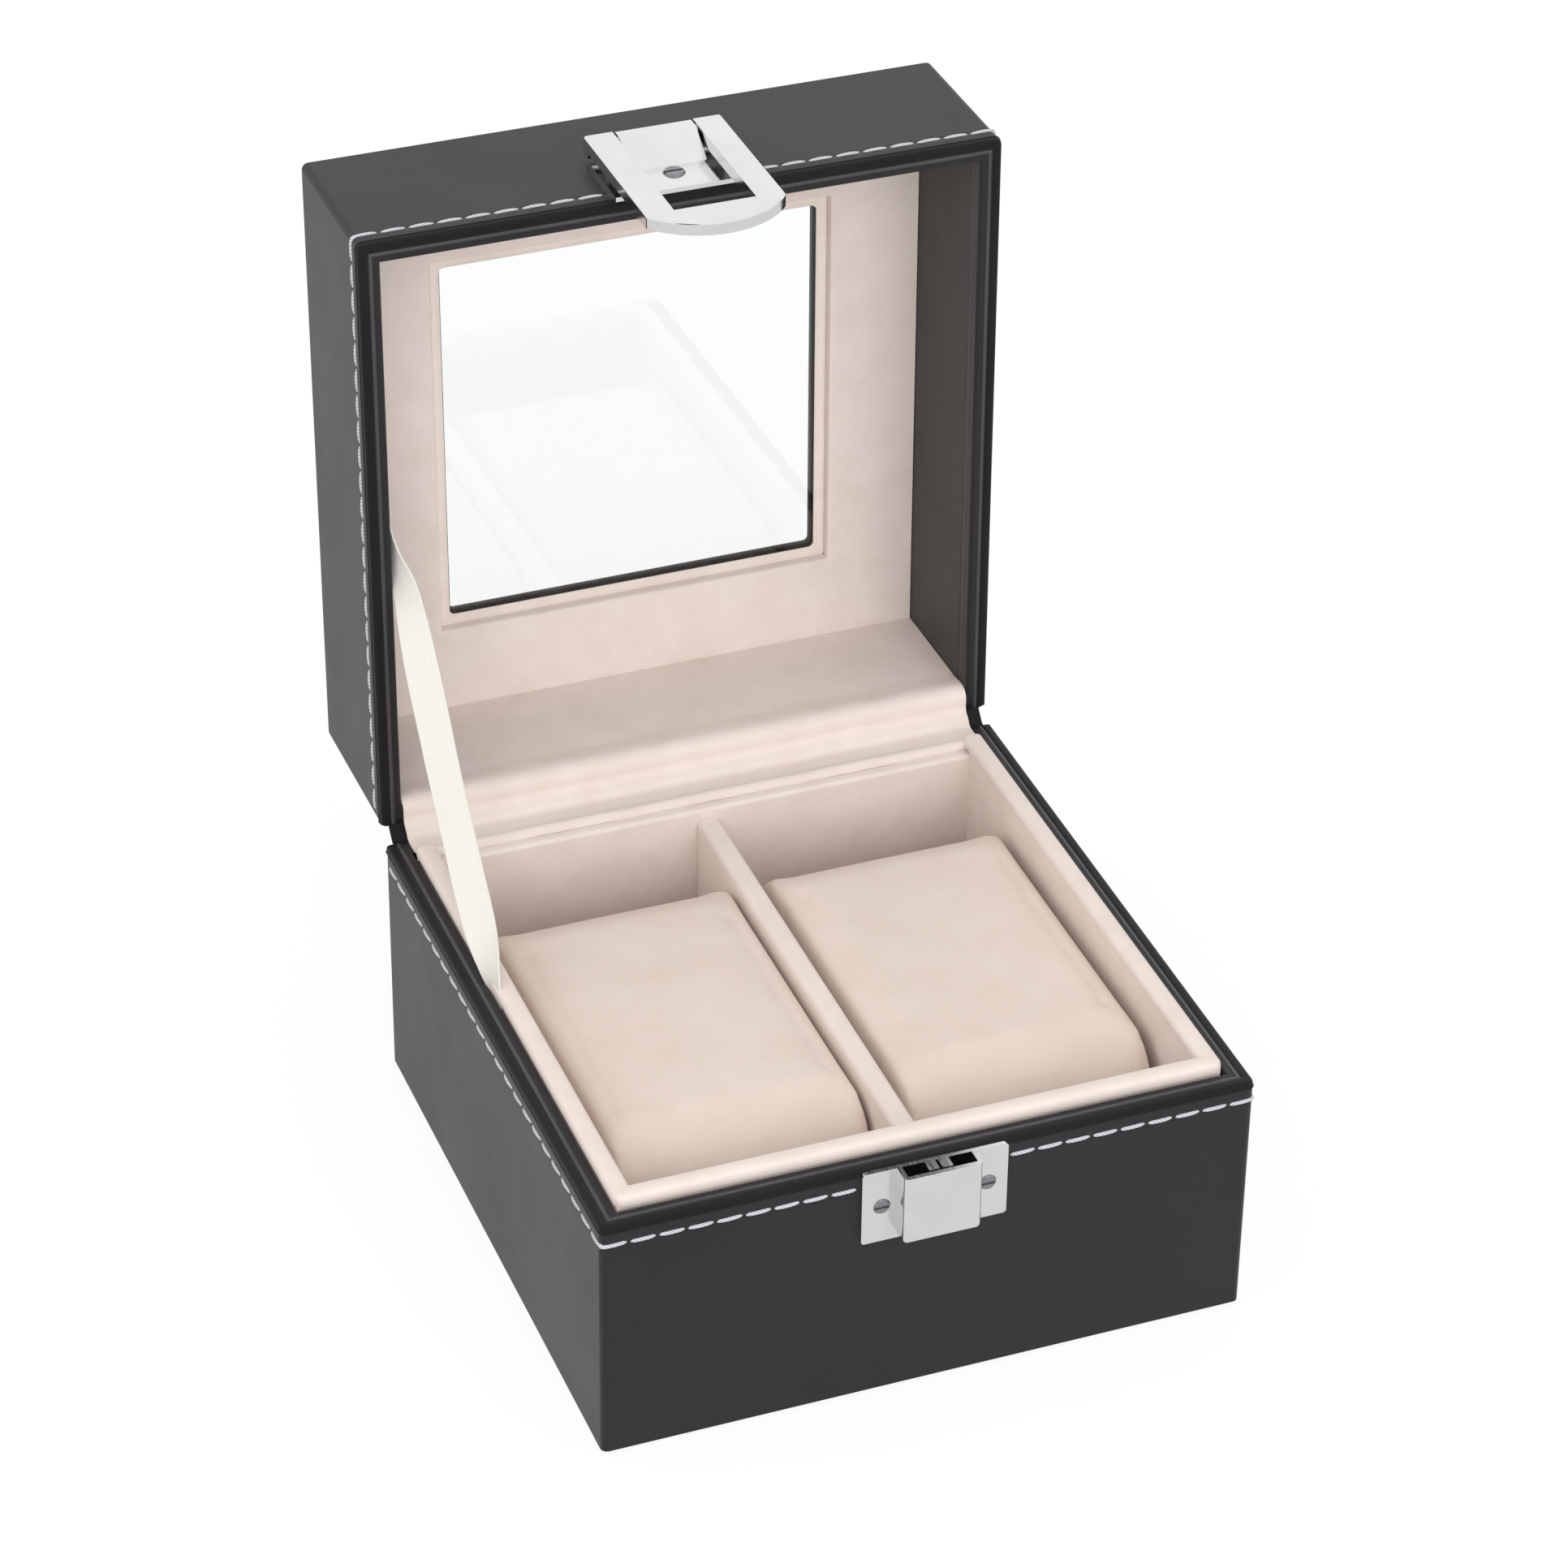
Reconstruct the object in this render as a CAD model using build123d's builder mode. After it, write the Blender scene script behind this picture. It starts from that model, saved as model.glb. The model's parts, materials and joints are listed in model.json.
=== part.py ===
from build123d import *
import math
import os

# Watch display case for two watches: a leatherette-wrapped board box with a windowed lid.
# The lid stands open on its ribbon stay. Origin: centre of the base's underside.
# X runs to the right, Y to the back, Z up. All lengths are in millimetres.

# Overall size
case_width = 112.0
case_depth = 112.0
base_height = 46.0
case_height = 78.0
parting_gap = 0.3
open_angle = 91.0

# Walls: board with a leatherette skin on both faces
board_t = 2.4
skin_t = 0.7
corner_r = 1.2
rim_r = 0.6
turn_in = 15.0
base_flange = 12.0

# Underside and floor
pad_t = 0.5
pad_inset = 2.0
pad_corner_r = 3.0
bottom_board_t = 2.4
tray_floor_t = 1.8

# Velvet tray
tray_fit = 0.5
tray_rear_fit = 1.2
tray_wall_t = 2.8
tray_lip = 2.0
lip_r = 0.8
divider_t = 3.9
divider_top = 43.5
divider_r = 1.2
slide_fit = 0.1

# Watch pillows
pillow_side_play = 3.55
pillow_length = 75.0
pillow_top = 42.5
pillow_corner_r = 13.0
pillow_crown = 0.6
pillow_edge_r = 2.5
pillow_seat_gap = 0.3
pillow_shift_y = -1.0
left_pillow_gap = 0.55
right_pillow_gap = 1.5

# Lid panel, from the inside out: mat, glass, top board, skin
mat_t = 2.0
glass_t = 1.2
top_board_t = 1.3
window = 69.0
mat_window = 72.0
mat_edge_r = 0.6
window_corner_r = 0.8
back_lining_t = 0.6

# Butt hinges, with their leaves sunk in the rear rims under the lining
hinge_setback = 1.8
hinge_length = 24.0
hinge_inset = 26.0
barrel_r = 1.2
pin_r = 0.6
pin_fit = 0.05
pin_stand_out = 0.4
leaf_t = 0.6
leaf_reach = 5.3
knuckle_count = 5
knuckle_gap = 0.15
leaf_relief = 0.3
leaf_screw_spacing = 16.0
leaf_screw_head_r = 1.1
leaf_screw_shank_r = 0.5
leaf_screw_length = 5.0

# Velvet strip over the hinge
lining_t = 0.5
strip_over_tray = 1.0
hump_height = 0.9
hump_setback = 0.8
strip_rise = 0.1
roll_inner_r = 1.35
roll_outer_r = 1.9
lining_fit = 0.03

# Ribbon stay
ribbon_width = 6.0
ribbon_t = 0.3
ribbon_fit = 0.1

# Screws of the hasp and the catch
screw_fit = 0.05
head_rise = 0.35
slot_width = 0.5
slot_depth = 0.3
hasp_screw_head_r = 1.85
hasp_screw_shank_r = 1.05
catch_screw_head_r = 1.4
catch_screw_shank_r = 0.7
front_screw_length = 3.8

# Hasp on the lid: a tab rolled over the flap's bar
plate_t = 0.8
hasp_tab_width = 13.3
hasp_plate_low = 0.2
hasp_bar_z = 15.3
hasp_bar_r = 1.4
roll_fit = 0.05
hasp_screw_z = 5.6
cover_straight = 1.8
cover_end_z = 8.1
flap_width = 24.0
flap_t = 2.2
flap_leg = 4.95
flap_top_r = 0.8
flap_edge_r = 0.4
flap_corner_r = 1.0
slot_low_z = -13.9
flap_corner_z = -14.5
tongue_low_z = -20.5

# Catch on the base
catch_width = 25.0
catch_plate_height = 14.0
catch_plate_drop = 0.3
catch_corner_r = 0.6
catch_screw_x = 9.1
catch_fit = 0.3
shield_height = 13.2
shield_drop = 0.1
shield_wall = 0.8
shield_edge_r = 0.9
post_bar_width = 1.8
post_bar_gap = 0.5
post_height = 5.0
post_drop = 0.3
post_fit = 0.6

# Worked-out sizes
wall_t = board_t + 2 * skin_t
inner_x = case_width / 2 - wall_t
inner_y = case_depth / 2 - wall_t
board_out_x = case_width / 2 - skin_t
board_out_y = case_depth / 2 - skin_t
board_in_x = board_out_x - board_t
board_in_y = board_out_y - board_t
lid_rim = base_height + parting_gap
base_rear_rim = base_height - lining_t
lid_rear_rim = lid_rim + lining_t
flange_top = pad_t + skin_t
wall_foot = flange_top + bottom_board_t
tray_floor_top = wall_foot + tray_floor_t
tray_x = inner_x - tray_fit
tray_front_y = inner_y - tray_fit
tray_rear_y = inner_y - tray_rear_fit
tray_top = base_height + tray_lip
compartment_x = tray_x - tray_wall_t
pillow_width = compartment_x - divider_t / 2 - pillow_side_play
left_pillow_x = -(divider_t / 2 + left_pillow_gap + pillow_width / 2)
right_pillow_x = compartment_x - right_pillow_gap - pillow_width / 2
top_board_low = case_height - skin_t - top_board_t
glass_low = top_board_low - glass_t
mat_low = glass_low - mat_t
hinge_y = case_depth / 2 + hinge_setback
hinge_z = base_height + parting_gap / 2
hinge_xs = (hinge_inset - case_width / 2, case_width / 2 - hinge_inset)
leaf_offset = parting_gap / 2 + lining_t
wall_mid_y = case_depth / 2 - wall_t / 2
front_y = case_depth / 2
roll_r = hasp_bar_r + roll_fit + plate_t
flap_front = 2 * roll_r
hasp_bar_y = front_y + roll_r
slot_half = flap_width / 2 - flap_leg
shield_width = 2 * (slot_half - catch_fit)
shield_depth = flap_front - plate_t

# The closed lid's planes, turned back about the hinge pins to where the stay holds it
swing = Pos(0, hinge_y, hinge_z) * Rot(-open_angle, 0, 0) * Pos(0, -hinge_y, -hinge_z)
lid_xy = Plane(swing * Plane.XY.location)
lid_xz = Plane(swing * Plane.XZ.location)
lid_yz = Plane(swing * Plane.YZ.location)
lid_z = Axis(lid_xy.origin, lid_xy.z_dir)

os.makedirs("parts", exist_ok=True)


def save(piece, name):
    piece.part.label = name
    export_step(piece.part, f"parts/{name}.step")


def block(plane, low, high, x_range, y_range):
    # A plain board between two corners, seen from the plane's own axes
    with BuildPart() as board:
        with BuildSketch(plane.offset(low)):
            with Locations((sum(x_range) / 2, sum(y_range) / 2)):
                Rectangle(x_range[1] - x_range[0], y_range[1] - y_range[0])
        extrude(amount=high - low)
    return board


def slotted_screws(plane, spots, head_r, shank_r, length, rise):
    # Countersunk wood screws; the plane is the face that the heads sit flush with
    cone_t = head_r - shank_r
    with BuildPart() as screws:
        with BuildSketch(plane.offset(-cone_t)):
            with Locations(*spots):
                Circle(shank_r)
        extrude(amount=-(length - cone_t))
        for spot in spots:
            with BuildSketch(plane):
                with Locations(spot):
                    Circle(head_r)
            with BuildSketch(plane.offset(-cone_t)):
                with Locations(spot):
                    Circle(shank_r)
            loft()
        if rise > 0:
            with BuildSketch(plane):
                with Locations(*spots):
                    Circle(head_r)
            extrude(amount=rise, taper=35)
        with BuildSketch(plane.offset(rise)):
            with Locations(*spots):
                Rectangle(3 * head_r, slot_width)
        extrude(amount=-slot_depth, mode=Mode.SUBTRACT)
    return screws


def shank_holes(plane, spots, radius, depth):
    # The room that screw shanks need, from the plane inwards
    with BuildPart() as holes:
        with BuildSketch(plane):
            with Locations(*spots):
                Circle(radius + screw_fit)
        extrude(amount=-depth)
    return holes


def screw_seats(plane, spots, head_r, shank_r, depth):
    # The room that countersunk heads and their shanks need in a metal plate
    cone_t = min(head_r - shank_r, depth)
    with BuildPart() as seats:
        with BuildSketch(plane):
            with Locations(*spots):
                Circle(shank_r + screw_fit)
        extrude(amount=-depth)
        for spot in spots:
            with BuildSketch(plane):
                with Locations(spot):
                    Circle(head_r + screw_fit)
            with BuildSketch(plane.offset(-cone_t)):
                with Locations(spot):
                    Circle(head_r - cone_t + screw_fit)
            loft()
    return seats


leaf_screw_spots = [
    (x + side * leaf_screw_spacing / 2, wall_mid_y) for x in hinge_xs for side in (-1, 1)
]


def hinge_seats(plane, rim, into):
    # Mortises for both leaves and holes for their screws; into is -1 downwards, 1 upwards
    with BuildPart() as seats:
        with BuildSketch(plane.offset(rim)):
            with Locations(*[(x, hinge_y - leaf_reach / 2) for x in hinge_xs]):
                Rectangle(hinge_length, leaf_reach)
        extrude(amount=into * leaf_t)
        with BuildSketch(plane.offset(rim)):
            with Locations(*leaf_screw_spots):
                Circle(leaf_screw_shank_r + screw_fit)
        extrude(amount=into * leaf_screw_length)
    return seats


base_hinge_seats = hinge_seats(Plane.XY, base_rear_rim, -1)
lid_hinge_seats = hinge_seats(lid_xy, lid_rear_rim, 1)

# Base: felt pad under the bottom
with BuildPart() as base_pad:
    with BuildSketch():
        RectangleRounded(case_width - 2 * pad_inset, case_depth - 2 * pad_inset, pad_corner_r)
    extrude(amount=pad_t)
save(base_pad, "base_pad")

# Base: bottom board and the four wall boards, butted at the corners
board_x = (-board_out_x, board_out_x)
side_y = (-board_in_y, board_in_y)
left_x = (-board_out_x, -board_in_x)
right_x = (board_in_x, board_out_x)
front_span = (-board_out_y, -board_in_y)
back_span = (board_in_y, board_out_y)
base_board_top = base_height - skin_t
save(block(Plane.XY, flange_top, wall_foot, board_x, (-board_out_y, board_out_y)), "base_bottom_board")
save(block(Plane.XY, wall_foot, base_board_top, left_x, side_y), "base_left_board")
save(block(Plane.XY, wall_foot, base_board_top, right_x, side_y), "base_right_board")

catch_mid_z = base_height - catch_plate_drop - catch_plate_height / 2
catch_spots = [(-catch_screw_x, catch_mid_z), (catch_screw_x, catch_mid_z)]
catch_holes = shank_holes(Plane.XZ.offset(front_y), catch_spots, catch_screw_shank_r, wall_t)
front_blank = block(Plane.XY, wall_foot, base_board_top, board_x, front_span)
with BuildPart() as base_front_board:
    add(front_blank.part)
    add(catch_holes.part, mode=Mode.SUBTRACT)
save(base_front_board, "base_front_board")

back_blank = block(Plane.XY, wall_foot, base_rear_rim - skin_t, board_x, back_span)
with BuildPart() as base_back_board:
    add(back_blank.part)
    add(base_hinge_seats.part, mode=Mode.SUBTRACT)
save(base_back_board, "base_back_board")

# Base: leatherette skin, turned in over the rim and under the bottom
with BuildPart() as base_wrap:
    with BuildSketch(Plane.XY.offset(pad_t)):
        Rectangle(case_width, case_depth)
    extrude(amount=base_height - pad_t)
    fillet(base_wrap.edges().filter_by(Axis.Z), corner_r)
    with BuildSketch(Plane.XY.offset(base_height)):
        Rectangle(2 * inner_x, 2 * inner_y)
    extrude(amount=-(base_height - flange_top), mode=Mode.SUBTRACT)
    fillet(base_wrap.faces().sort_by(Axis.Z)[-1].edges(), rim_r)
    with BuildSketch(Plane.XY.offset(base_height - lining_t)):
        with Locations((0, inner_y + wall_t / 2)):
            Rectangle(2 * inner_x, wall_t)
    extrude(amount=lining_t, mode=Mode.SUBTRACT)
    # Room for the side and front boards, and for the lower back board
    with BuildSketch(Plane.XY.offset(flange_top)):
        Rectangle(2 * board_out_x, 2 * board_out_y)
        Rectangle(2 * board_in_x, 2 * board_in_y, mode=Mode.SUBTRACT)
        with Locations((0, wall_mid_y)):
            Rectangle(2 * board_out_x, board_t, mode=Mode.SUBTRACT)
    extrude(amount=base_board_top - flange_top, mode=Mode.SUBTRACT)
    with BuildSketch(Plane.XY.offset(flange_top)):
        with Locations((0, wall_mid_y)):
            Rectangle(2 * board_out_x, board_t)
    extrude(amount=base_rear_rim - skin_t - flange_top, mode=Mode.SUBTRACT)
    # Bare board below the turned-in edge
    with BuildSketch(Plane.XY.offset(flange_top)):
        Rectangle(2 * board_out_x, 2 * board_out_y)
    extrude(amount=base_height - turn_in - flange_top, mode=Mode.SUBTRACT)
    with BuildSketch(Plane.XY.offset(pad_t)):
        Rectangle(case_width - 2 * base_flange, case_depth - 2 * base_flange)
    extrude(amount=skin_t, mode=Mode.SUBTRACT)
    add(base_hinge_seats.part, mode=Mode.SUBTRACT)
    add(catch_holes.part, mode=Mode.SUBTRACT)
save(base_wrap, "base_wrap")

# Tray: floor, four velvet-covered walls mitred at the corners, divider
tray_in_front = tray_front_y - tray_wall_t
tray_in_rear = tray_rear_y - tray_wall_t
save(
    block(
        Plane.XY,
        wall_foot,
        tray_floor_top,
        (-compartment_x + slide_fit, compartment_x - slide_fit),
        (-tray_in_front + slide_fit, tray_in_rear - slide_fit),
    ),
    "tray_floor",
)


def tray_wall(outer, inner, top):
    # One mitred wall; outer and inner are its two long edges in plan
    with BuildPart() as wall:
        with BuildSketch(Plane.XY.offset(wall_foot)):
            with BuildLine():
                Polyline(*outer, *reversed(inner), close=True)
            make_face()
        extrude(amount=top - wall_foot)
        lip = wall.faces().sort_by(Axis.Z)[-1].edges().sort_by(SortBy.LENGTH)[-2:]
        fillet(lip, lip_r)
    return wall


out_lf = (-tray_x, -tray_front_y)
out_rf = (tray_x, -tray_front_y)
out_rb = (tray_x, tray_rear_y)
out_lb = (-tray_x, tray_rear_y)
in_lf = (-compartment_x, -tray_in_front)
in_rf = (compartment_x, -tray_in_front)
in_rb = (compartment_x, tray_in_rear)
in_lb = (-compartment_x, tray_in_rear)
save(tray_wall((out_lf, out_rf), (in_lf, in_rf), tray_top), "tray_front_wall")
save(tray_wall((out_rf, out_rb), (in_rf, in_rb), tray_top), "tray_right_wall")
save(tray_wall((out_rb, out_lb), (in_rb, in_lb), base_rear_rim), "tray_back_wall")
save(tray_wall((out_lb, out_lf), (in_lb, in_lf), tray_top), "tray_left_wall")

with BuildPart() as tray_divider:
    with BuildSketch(Plane.XY.offset(tray_floor_top)):
        with Locations((0, (tray_in_rear - tray_in_front) / 2)):
            Rectangle(divider_t, tray_in_front + tray_in_rear - 2 * slide_fit)
    extrude(amount=divider_top - tray_floor_top)
    ridge = tray_divider.faces().sort_by(Axis.Z)[-1].edges().sort_by(SortBy.LENGTH)[-2:]
    fillet(ridge, divider_r)
save(tray_divider, "tray_divider")


# Watch pillows: crowned foam blocks with rounded ends and softly turned side edges
pillow_low = tray_floor_top + pillow_seat_gap


def watch_pillow(x):
    half = pillow_length / 2
    shoulder = half - pillow_corner_r
    top_edge = pillow_top - pillow_crown
    top_r = top_edge - pillow_corner_r
    foot_r = pillow_low + pillow_corner_r
    y = pillow_shift_y
    lean = pillow_corner_r * math.sqrt(0.5)
    with BuildPart() as pillow:
        with BuildSketch(Plane.YZ.offset(x - pillow_width / 2)):
            with BuildLine():
                ThreePointArc((y - shoulder, top_edge), (y, pillow_top), (y + shoulder, top_edge))
                ThreePointArc(
                    (y + shoulder, top_edge),
                    (y + shoulder + lean, top_r + lean),
                    (y + half, top_r),
                )
                Line((y + half, top_r), (y + half, foot_r))
                ThreePointArc(
                    (y + half, foot_r),
                    (y + shoulder + lean, foot_r - lean),
                    (y + shoulder, pillow_low),
                )
                Line((y + shoulder, pillow_low), (y - shoulder, pillow_low))
                ThreePointArc(
                    (y - shoulder, pillow_low),
                    (y - shoulder - lean, foot_r - lean),
                    (y - half, foot_r),
                )
                Line((y - half, foot_r), (y - half, top_r))
                ThreePointArc(
                    (y - half, top_r),
                    (y - shoulder - lean, top_r + lean),
                    (y - shoulder, top_edge),
                )
            make_face()
        extrude(amount=pillow_width)
        side_faces = pillow.faces().filter_by(Axis.X)
        fillet(side_faces.edges(), pillow_edge_r)
    return pillow


save(watch_pillow(left_pillow_x), "left_pillow")
save(watch_pillow(right_pillow_x), "right_pillow")

# Lid: side boards, in the closed lid's own axes
lid_board_low = lid_rim + skin_t
save(block(lid_xy, lid_board_low, top_board_low, left_x, side_y), "lid_left_board")
save(block(lid_xy, lid_board_low, top_board_low, right_x, side_y), "lid_right_board")

hasp_spots = [(0, lid_rim + hasp_screw_z)]
hasp_hole = shank_holes(lid_xz.offset(front_y), hasp_spots, hasp_screw_shank_r, wall_t)
lid_front_blank = block(lid_xy, lid_board_low, top_board_low, board_x, front_span)
with BuildPart() as lid_front_board:
    add(lid_front_blank.part)
    add(hasp_hole.part, mode=Mode.SUBTRACT)
save(lid_front_board, "lid_front_board")

lid_back_blank = block(lid_xy, lid_rear_rim + skin_t, top_board_low, board_x, back_span)
with BuildPart() as lid_back_board:
    add(lid_back_blank.part)
    add(lid_hinge_seats.part, mode=Mode.SUBTRACT)
save(lid_back_board, "lid_back_board")

# Lid: top board with the window
with BuildPart() as lid_top_board:
    with BuildSketch(lid_xy.offset(top_board_low)):
        Rectangle(2 * board_out_x, 2 * board_out_y)
        Rectangle(window + 2 * skin_t, window + 2 * skin_t, mode=Mode.SUBTRACT)
    extrude(amount=top_board_t)
save(lid_top_board, "lid_top_board")

# Lid: leatherette skin, over the top, round the window's edge and over the rim
with BuildPart() as lid_wrap:
    with BuildSketch(lid_xy.offset(lid_rim)):
        Rectangle(case_width, case_depth)
    extrude(amount=case_height - lid_rim)
    fillet(lid_wrap.edges().filter_by(lid_z), corner_r)
    fillet(lid_wrap.faces().sort_by(lid_z)[-1].edges(), rim_r)
    with BuildSketch(lid_xy.offset(lid_rim)):
        Rectangle(2 * inner_x, 2 * inner_y)
    extrude(amount=top_board_low - lid_rim, mode=Mode.SUBTRACT)
    fillet(lid_wrap.faces().sort_by(lid_z)[0].edges(), rim_r)
    with BuildSketch(lid_xy.offset(lid_rim)):
        with Locations((0, inner_y + wall_t / 2)):
            Rectangle(2 * inner_x, wall_t)
    extrude(amount=lining_t, mode=Mode.SUBTRACT)
    with BuildSketch(lid_xy.offset(lid_board_low)):
        Rectangle(2 * board_out_x, 2 * board_out_y)
        Rectangle(2 * board_in_x, 2 * board_in_y, mode=Mode.SUBTRACT)
        with Locations((0, wall_mid_y)):
            Rectangle(2 * board_out_x, board_t, mode=Mode.SUBTRACT)
    extrude(amount=top_board_low - lid_board_low, mode=Mode.SUBTRACT)
    with BuildSketch(lid_xy.offset(lid_rear_rim + skin_t)):
        with Locations((0, wall_mid_y)):
            Rectangle(2 * board_out_x, board_t)
    extrude(amount=top_board_low - lid_rear_rim - skin_t, mode=Mode.SUBTRACT)
    # Room for the top board, leaving the skin round the window's edge
    with BuildSketch(lid_xy.offset(top_board_low)):
        Rectangle(2 * board_out_x, 2 * board_out_y)
        Rectangle(window + 2 * skin_t, window + 2 * skin_t, mode=Mode.SUBTRACT)
    extrude(amount=top_board_t, mode=Mode.SUBTRACT)
    with BuildSketch(lid_xy.offset(top_board_low)):
        RectangleRounded(window, window, window_corner_r)
    extrude(amount=top_board_t + skin_t, mode=Mode.SUBTRACT)
    add(lid_hinge_seats.part, mode=Mode.SUBTRACT)
    add(hasp_hole.part, mode=Mode.SUBTRACT)
save(lid_wrap, "lid_wrap")

# Lid: glass, mat with the window's cream edge, and the back wall's lining
pane_x = (slide_fit - inner_x, inner_x - slide_fit)
pane_y = (slide_fit - inner_y, inner_y - slide_fit)
save(block(lid_xy, glass_low, top_board_low, pane_x, pane_y), "glass_pane")

with BuildPart() as window_mat:
    with BuildSketch(lid_xy.offset(mat_low)):
        Rectangle(pane_x[1] - pane_x[0], pane_y[1] - pane_y[0])
        Rectangle(mat_window, mat_window, mode=Mode.SUBTRACT)
    extrude(amount=mat_t)
    sight_edges = window_mat.faces().sort_by(lid_z)[0].edges().sort_by(SortBy.LENGTH)[:4]
    fillet(sight_edges, mat_edge_r)
save(window_mat, "window_mat")

lining_y = (inner_y - back_lining_t, inner_y)
save(block(lid_xy, lid_rear_rim, mat_low, pane_x, lining_y), "lid_back_lining")


# Hinges: two leaves with interleaved knuckles round one pin
def hinge_leaf(plane, side_plane, side, x, knuckles):
    knuckle = hinge_length / knuckle_count
    relief = barrel_r + leaf_relief
    near = hinge_y - leaf_reach
    root = hinge_y - barrel_r / 2
    with BuildPart() as leaf:
        with BuildSketch(plane.offset(hinge_z + side * leaf_offset)):
            with Locations((x, (near + hinge_y - relief) / 2)):
                Rectangle(hinge_length, leaf_reach - relief)
            for i in knuckles:
                mid = x - hinge_length / 2 + (i + 0.5) * knuckle
                with Locations((mid, (near + root) / 2)):
                    Rectangle(knuckle - knuckle_gap, root - near)
        extrude(amount=side * leaf_t)
        for i in knuckles:
            start = x - hinge_length / 2 + i * knuckle + knuckle_gap / 2
            with BuildSketch(side_plane.offset(start)):
                with Locations((hinge_y, hinge_z)):
                    Circle(barrel_r)
            extrude(amount=knuckle - knuckle_gap)
        with BuildSketch(side_plane.offset(x - hinge_length / 2)):
            with Locations((hinge_y, hinge_z)):
                Circle(pin_r + pin_fit)
        extrude(amount=hinge_length, mode=Mode.SUBTRACT)
        # The countersinks open towards the pin's level
        spots = [spot for spot in leaf_screw_spots if abs(spot[0] - x) < hinge_length / 2]
        cone_t = leaf_screw_head_r - leaf_screw_shank_r
        for spot in spots:
            with BuildSketch(plane.offset(hinge_z + side * leaf_offset)):
                with Locations(spot):
                    Circle(leaf_screw_head_r + screw_fit)
            with BuildSketch(plane.offset(hinge_z + side * (leaf_offset + cone_t))):
                with Locations(spot):
                    Circle(leaf_screw_shank_r + screw_fit)
            loft(mode=Mode.SUBTRACT)
    return leaf


def hinge_pin(x):
    length = hinge_length + 2 * pin_stand_out
    with BuildPart() as pin:
        with BuildSketch(Plane.YZ.offset(x - length / 2)):
            with Locations((hinge_y, hinge_z)):
                Circle(pin_r)
        extrude(amount=length)
        chamfer(pin.edges(), pin_r / 3)
    return pin


base_knuckles = range(0, knuckle_count, 2)
lid_knuckles = range(1, knuckle_count, 2)
for side_name, x in zip(("left", "right"), hinge_xs):
    save(hinge_leaf(Plane.XY, Plane.YZ, -1, x, base_knuckles), f"{side_name}_hinge_base_leaf")
    save(hinge_leaf(lid_xy, lid_yz, 1, x, lid_knuckles), f"{side_name}_hinge_lid_leaf")
    save(hinge_pin(x), f"{side_name}_hinge_pin")

base_leaf_face = Plane.XY.offset(base_rear_rim)
lid_leaf_face = lid_xy.offset(lid_rear_rim)
lid_leaf_out = Plane(lid_leaf_face.origin, x_dir=-lid_leaf_face.x_dir, z_dir=-lid_leaf_face.z_dir)
lid_leaf_spots = [(-spot[0], spot[1]) for spot in leaf_screw_spots]
save(
    slotted_screws(
        base_leaf_face,
        leaf_screw_spots,
        leaf_screw_head_r,
        leaf_screw_shank_r,
        leaf_screw_length,
        0,
    ),
    "hinge_base_screws",
)
save(
    slotted_screws(
        lid_leaf_out,
        lid_leaf_spots,
        leaf_screw_head_r,
        leaf_screw_shank_r,
        leaf_screw_length,
        0,
    ),
    "hinge_lid_screws",
)

# Velvet strip: a soft hump on the rear rim, a roll over the barrels, a band up the lid's rim
strip_front = tray_rear_y - strip_over_tray
strip_top = base_height + strip_rise
hump_rear = case_depth / 2 - hump_setback
with BuildPart() as hinge_lining:
    with BuildSketch(Plane.YZ.offset(-inner_x)):
        with BuildLine():
            Line((case_depth / 2, base_rear_rim), (strip_front, base_rear_rim))
            ThreePointArc(
                (strip_front, base_rear_rim),
                ((strip_front + hump_rear) / 2, base_height + hump_height),
                (hump_rear, strip_top),
            )
            Line((hump_rear, strip_top), (case_depth / 2, strip_top))
            Line((case_depth / 2, strip_top), (case_depth / 2, base_rear_rim))
        make_face()
    extrude(amount=2 * inner_x)
    with BuildSketch(Plane.YZ.offset(-inner_x)):
        with Locations((hinge_y, hinge_z)):
            Circle(roll_outer_r)
            Circle(roll_inner_r, mode=Mode.SUBTRACT)
        with Locations((hinge_y, base_rear_rim)):
            Rectangle(
                4 * roll_outer_r,
                2 * roll_outer_r,
                align=(Align.CENTER, Align.MAX),
                mode=Mode.SUBTRACT,
            )
        with Locations((hinge_y + leaf_offset - lining_fit, hinge_z)):
            Rectangle(
                2 * roll_outer_r,
                4 * roll_outer_r,
                align=(Align.MIN, Align.CENTER),
                mode=Mode.SUBTRACT,
            )
    extrude(amount=2 * inner_x)
    band_end = hinge_y - (roll_inner_r + roll_outer_r) / 2
    with BuildSketch(lid_yz.offset(-inner_x)):
        with Locations((inner_y - back_lining_t, lid_rim)):
            Rectangle(
                band_end - inner_y + back_lining_t,
                lining_t - lining_fit,
                align=(Align.MIN, Align.MIN),
            )
    extrude(amount=2 * inner_x)
    # The front edge lies between the tray's taller side walls
    with BuildSketch(Plane.XY.offset(base_rear_rim)):
        with Locations((-inner_x, strip_front), (inner_x, strip_front)):
            Rectangle(
                2 * (inner_x - compartment_x + slide_fit),
                2 * (tray_rear_y - strip_front + slide_fit),
            )
    extrude(amount=tray_top - base_rear_rim, mode=Mode.SUBTRACT)
save(hinge_lining, "hinge_lining")

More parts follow.
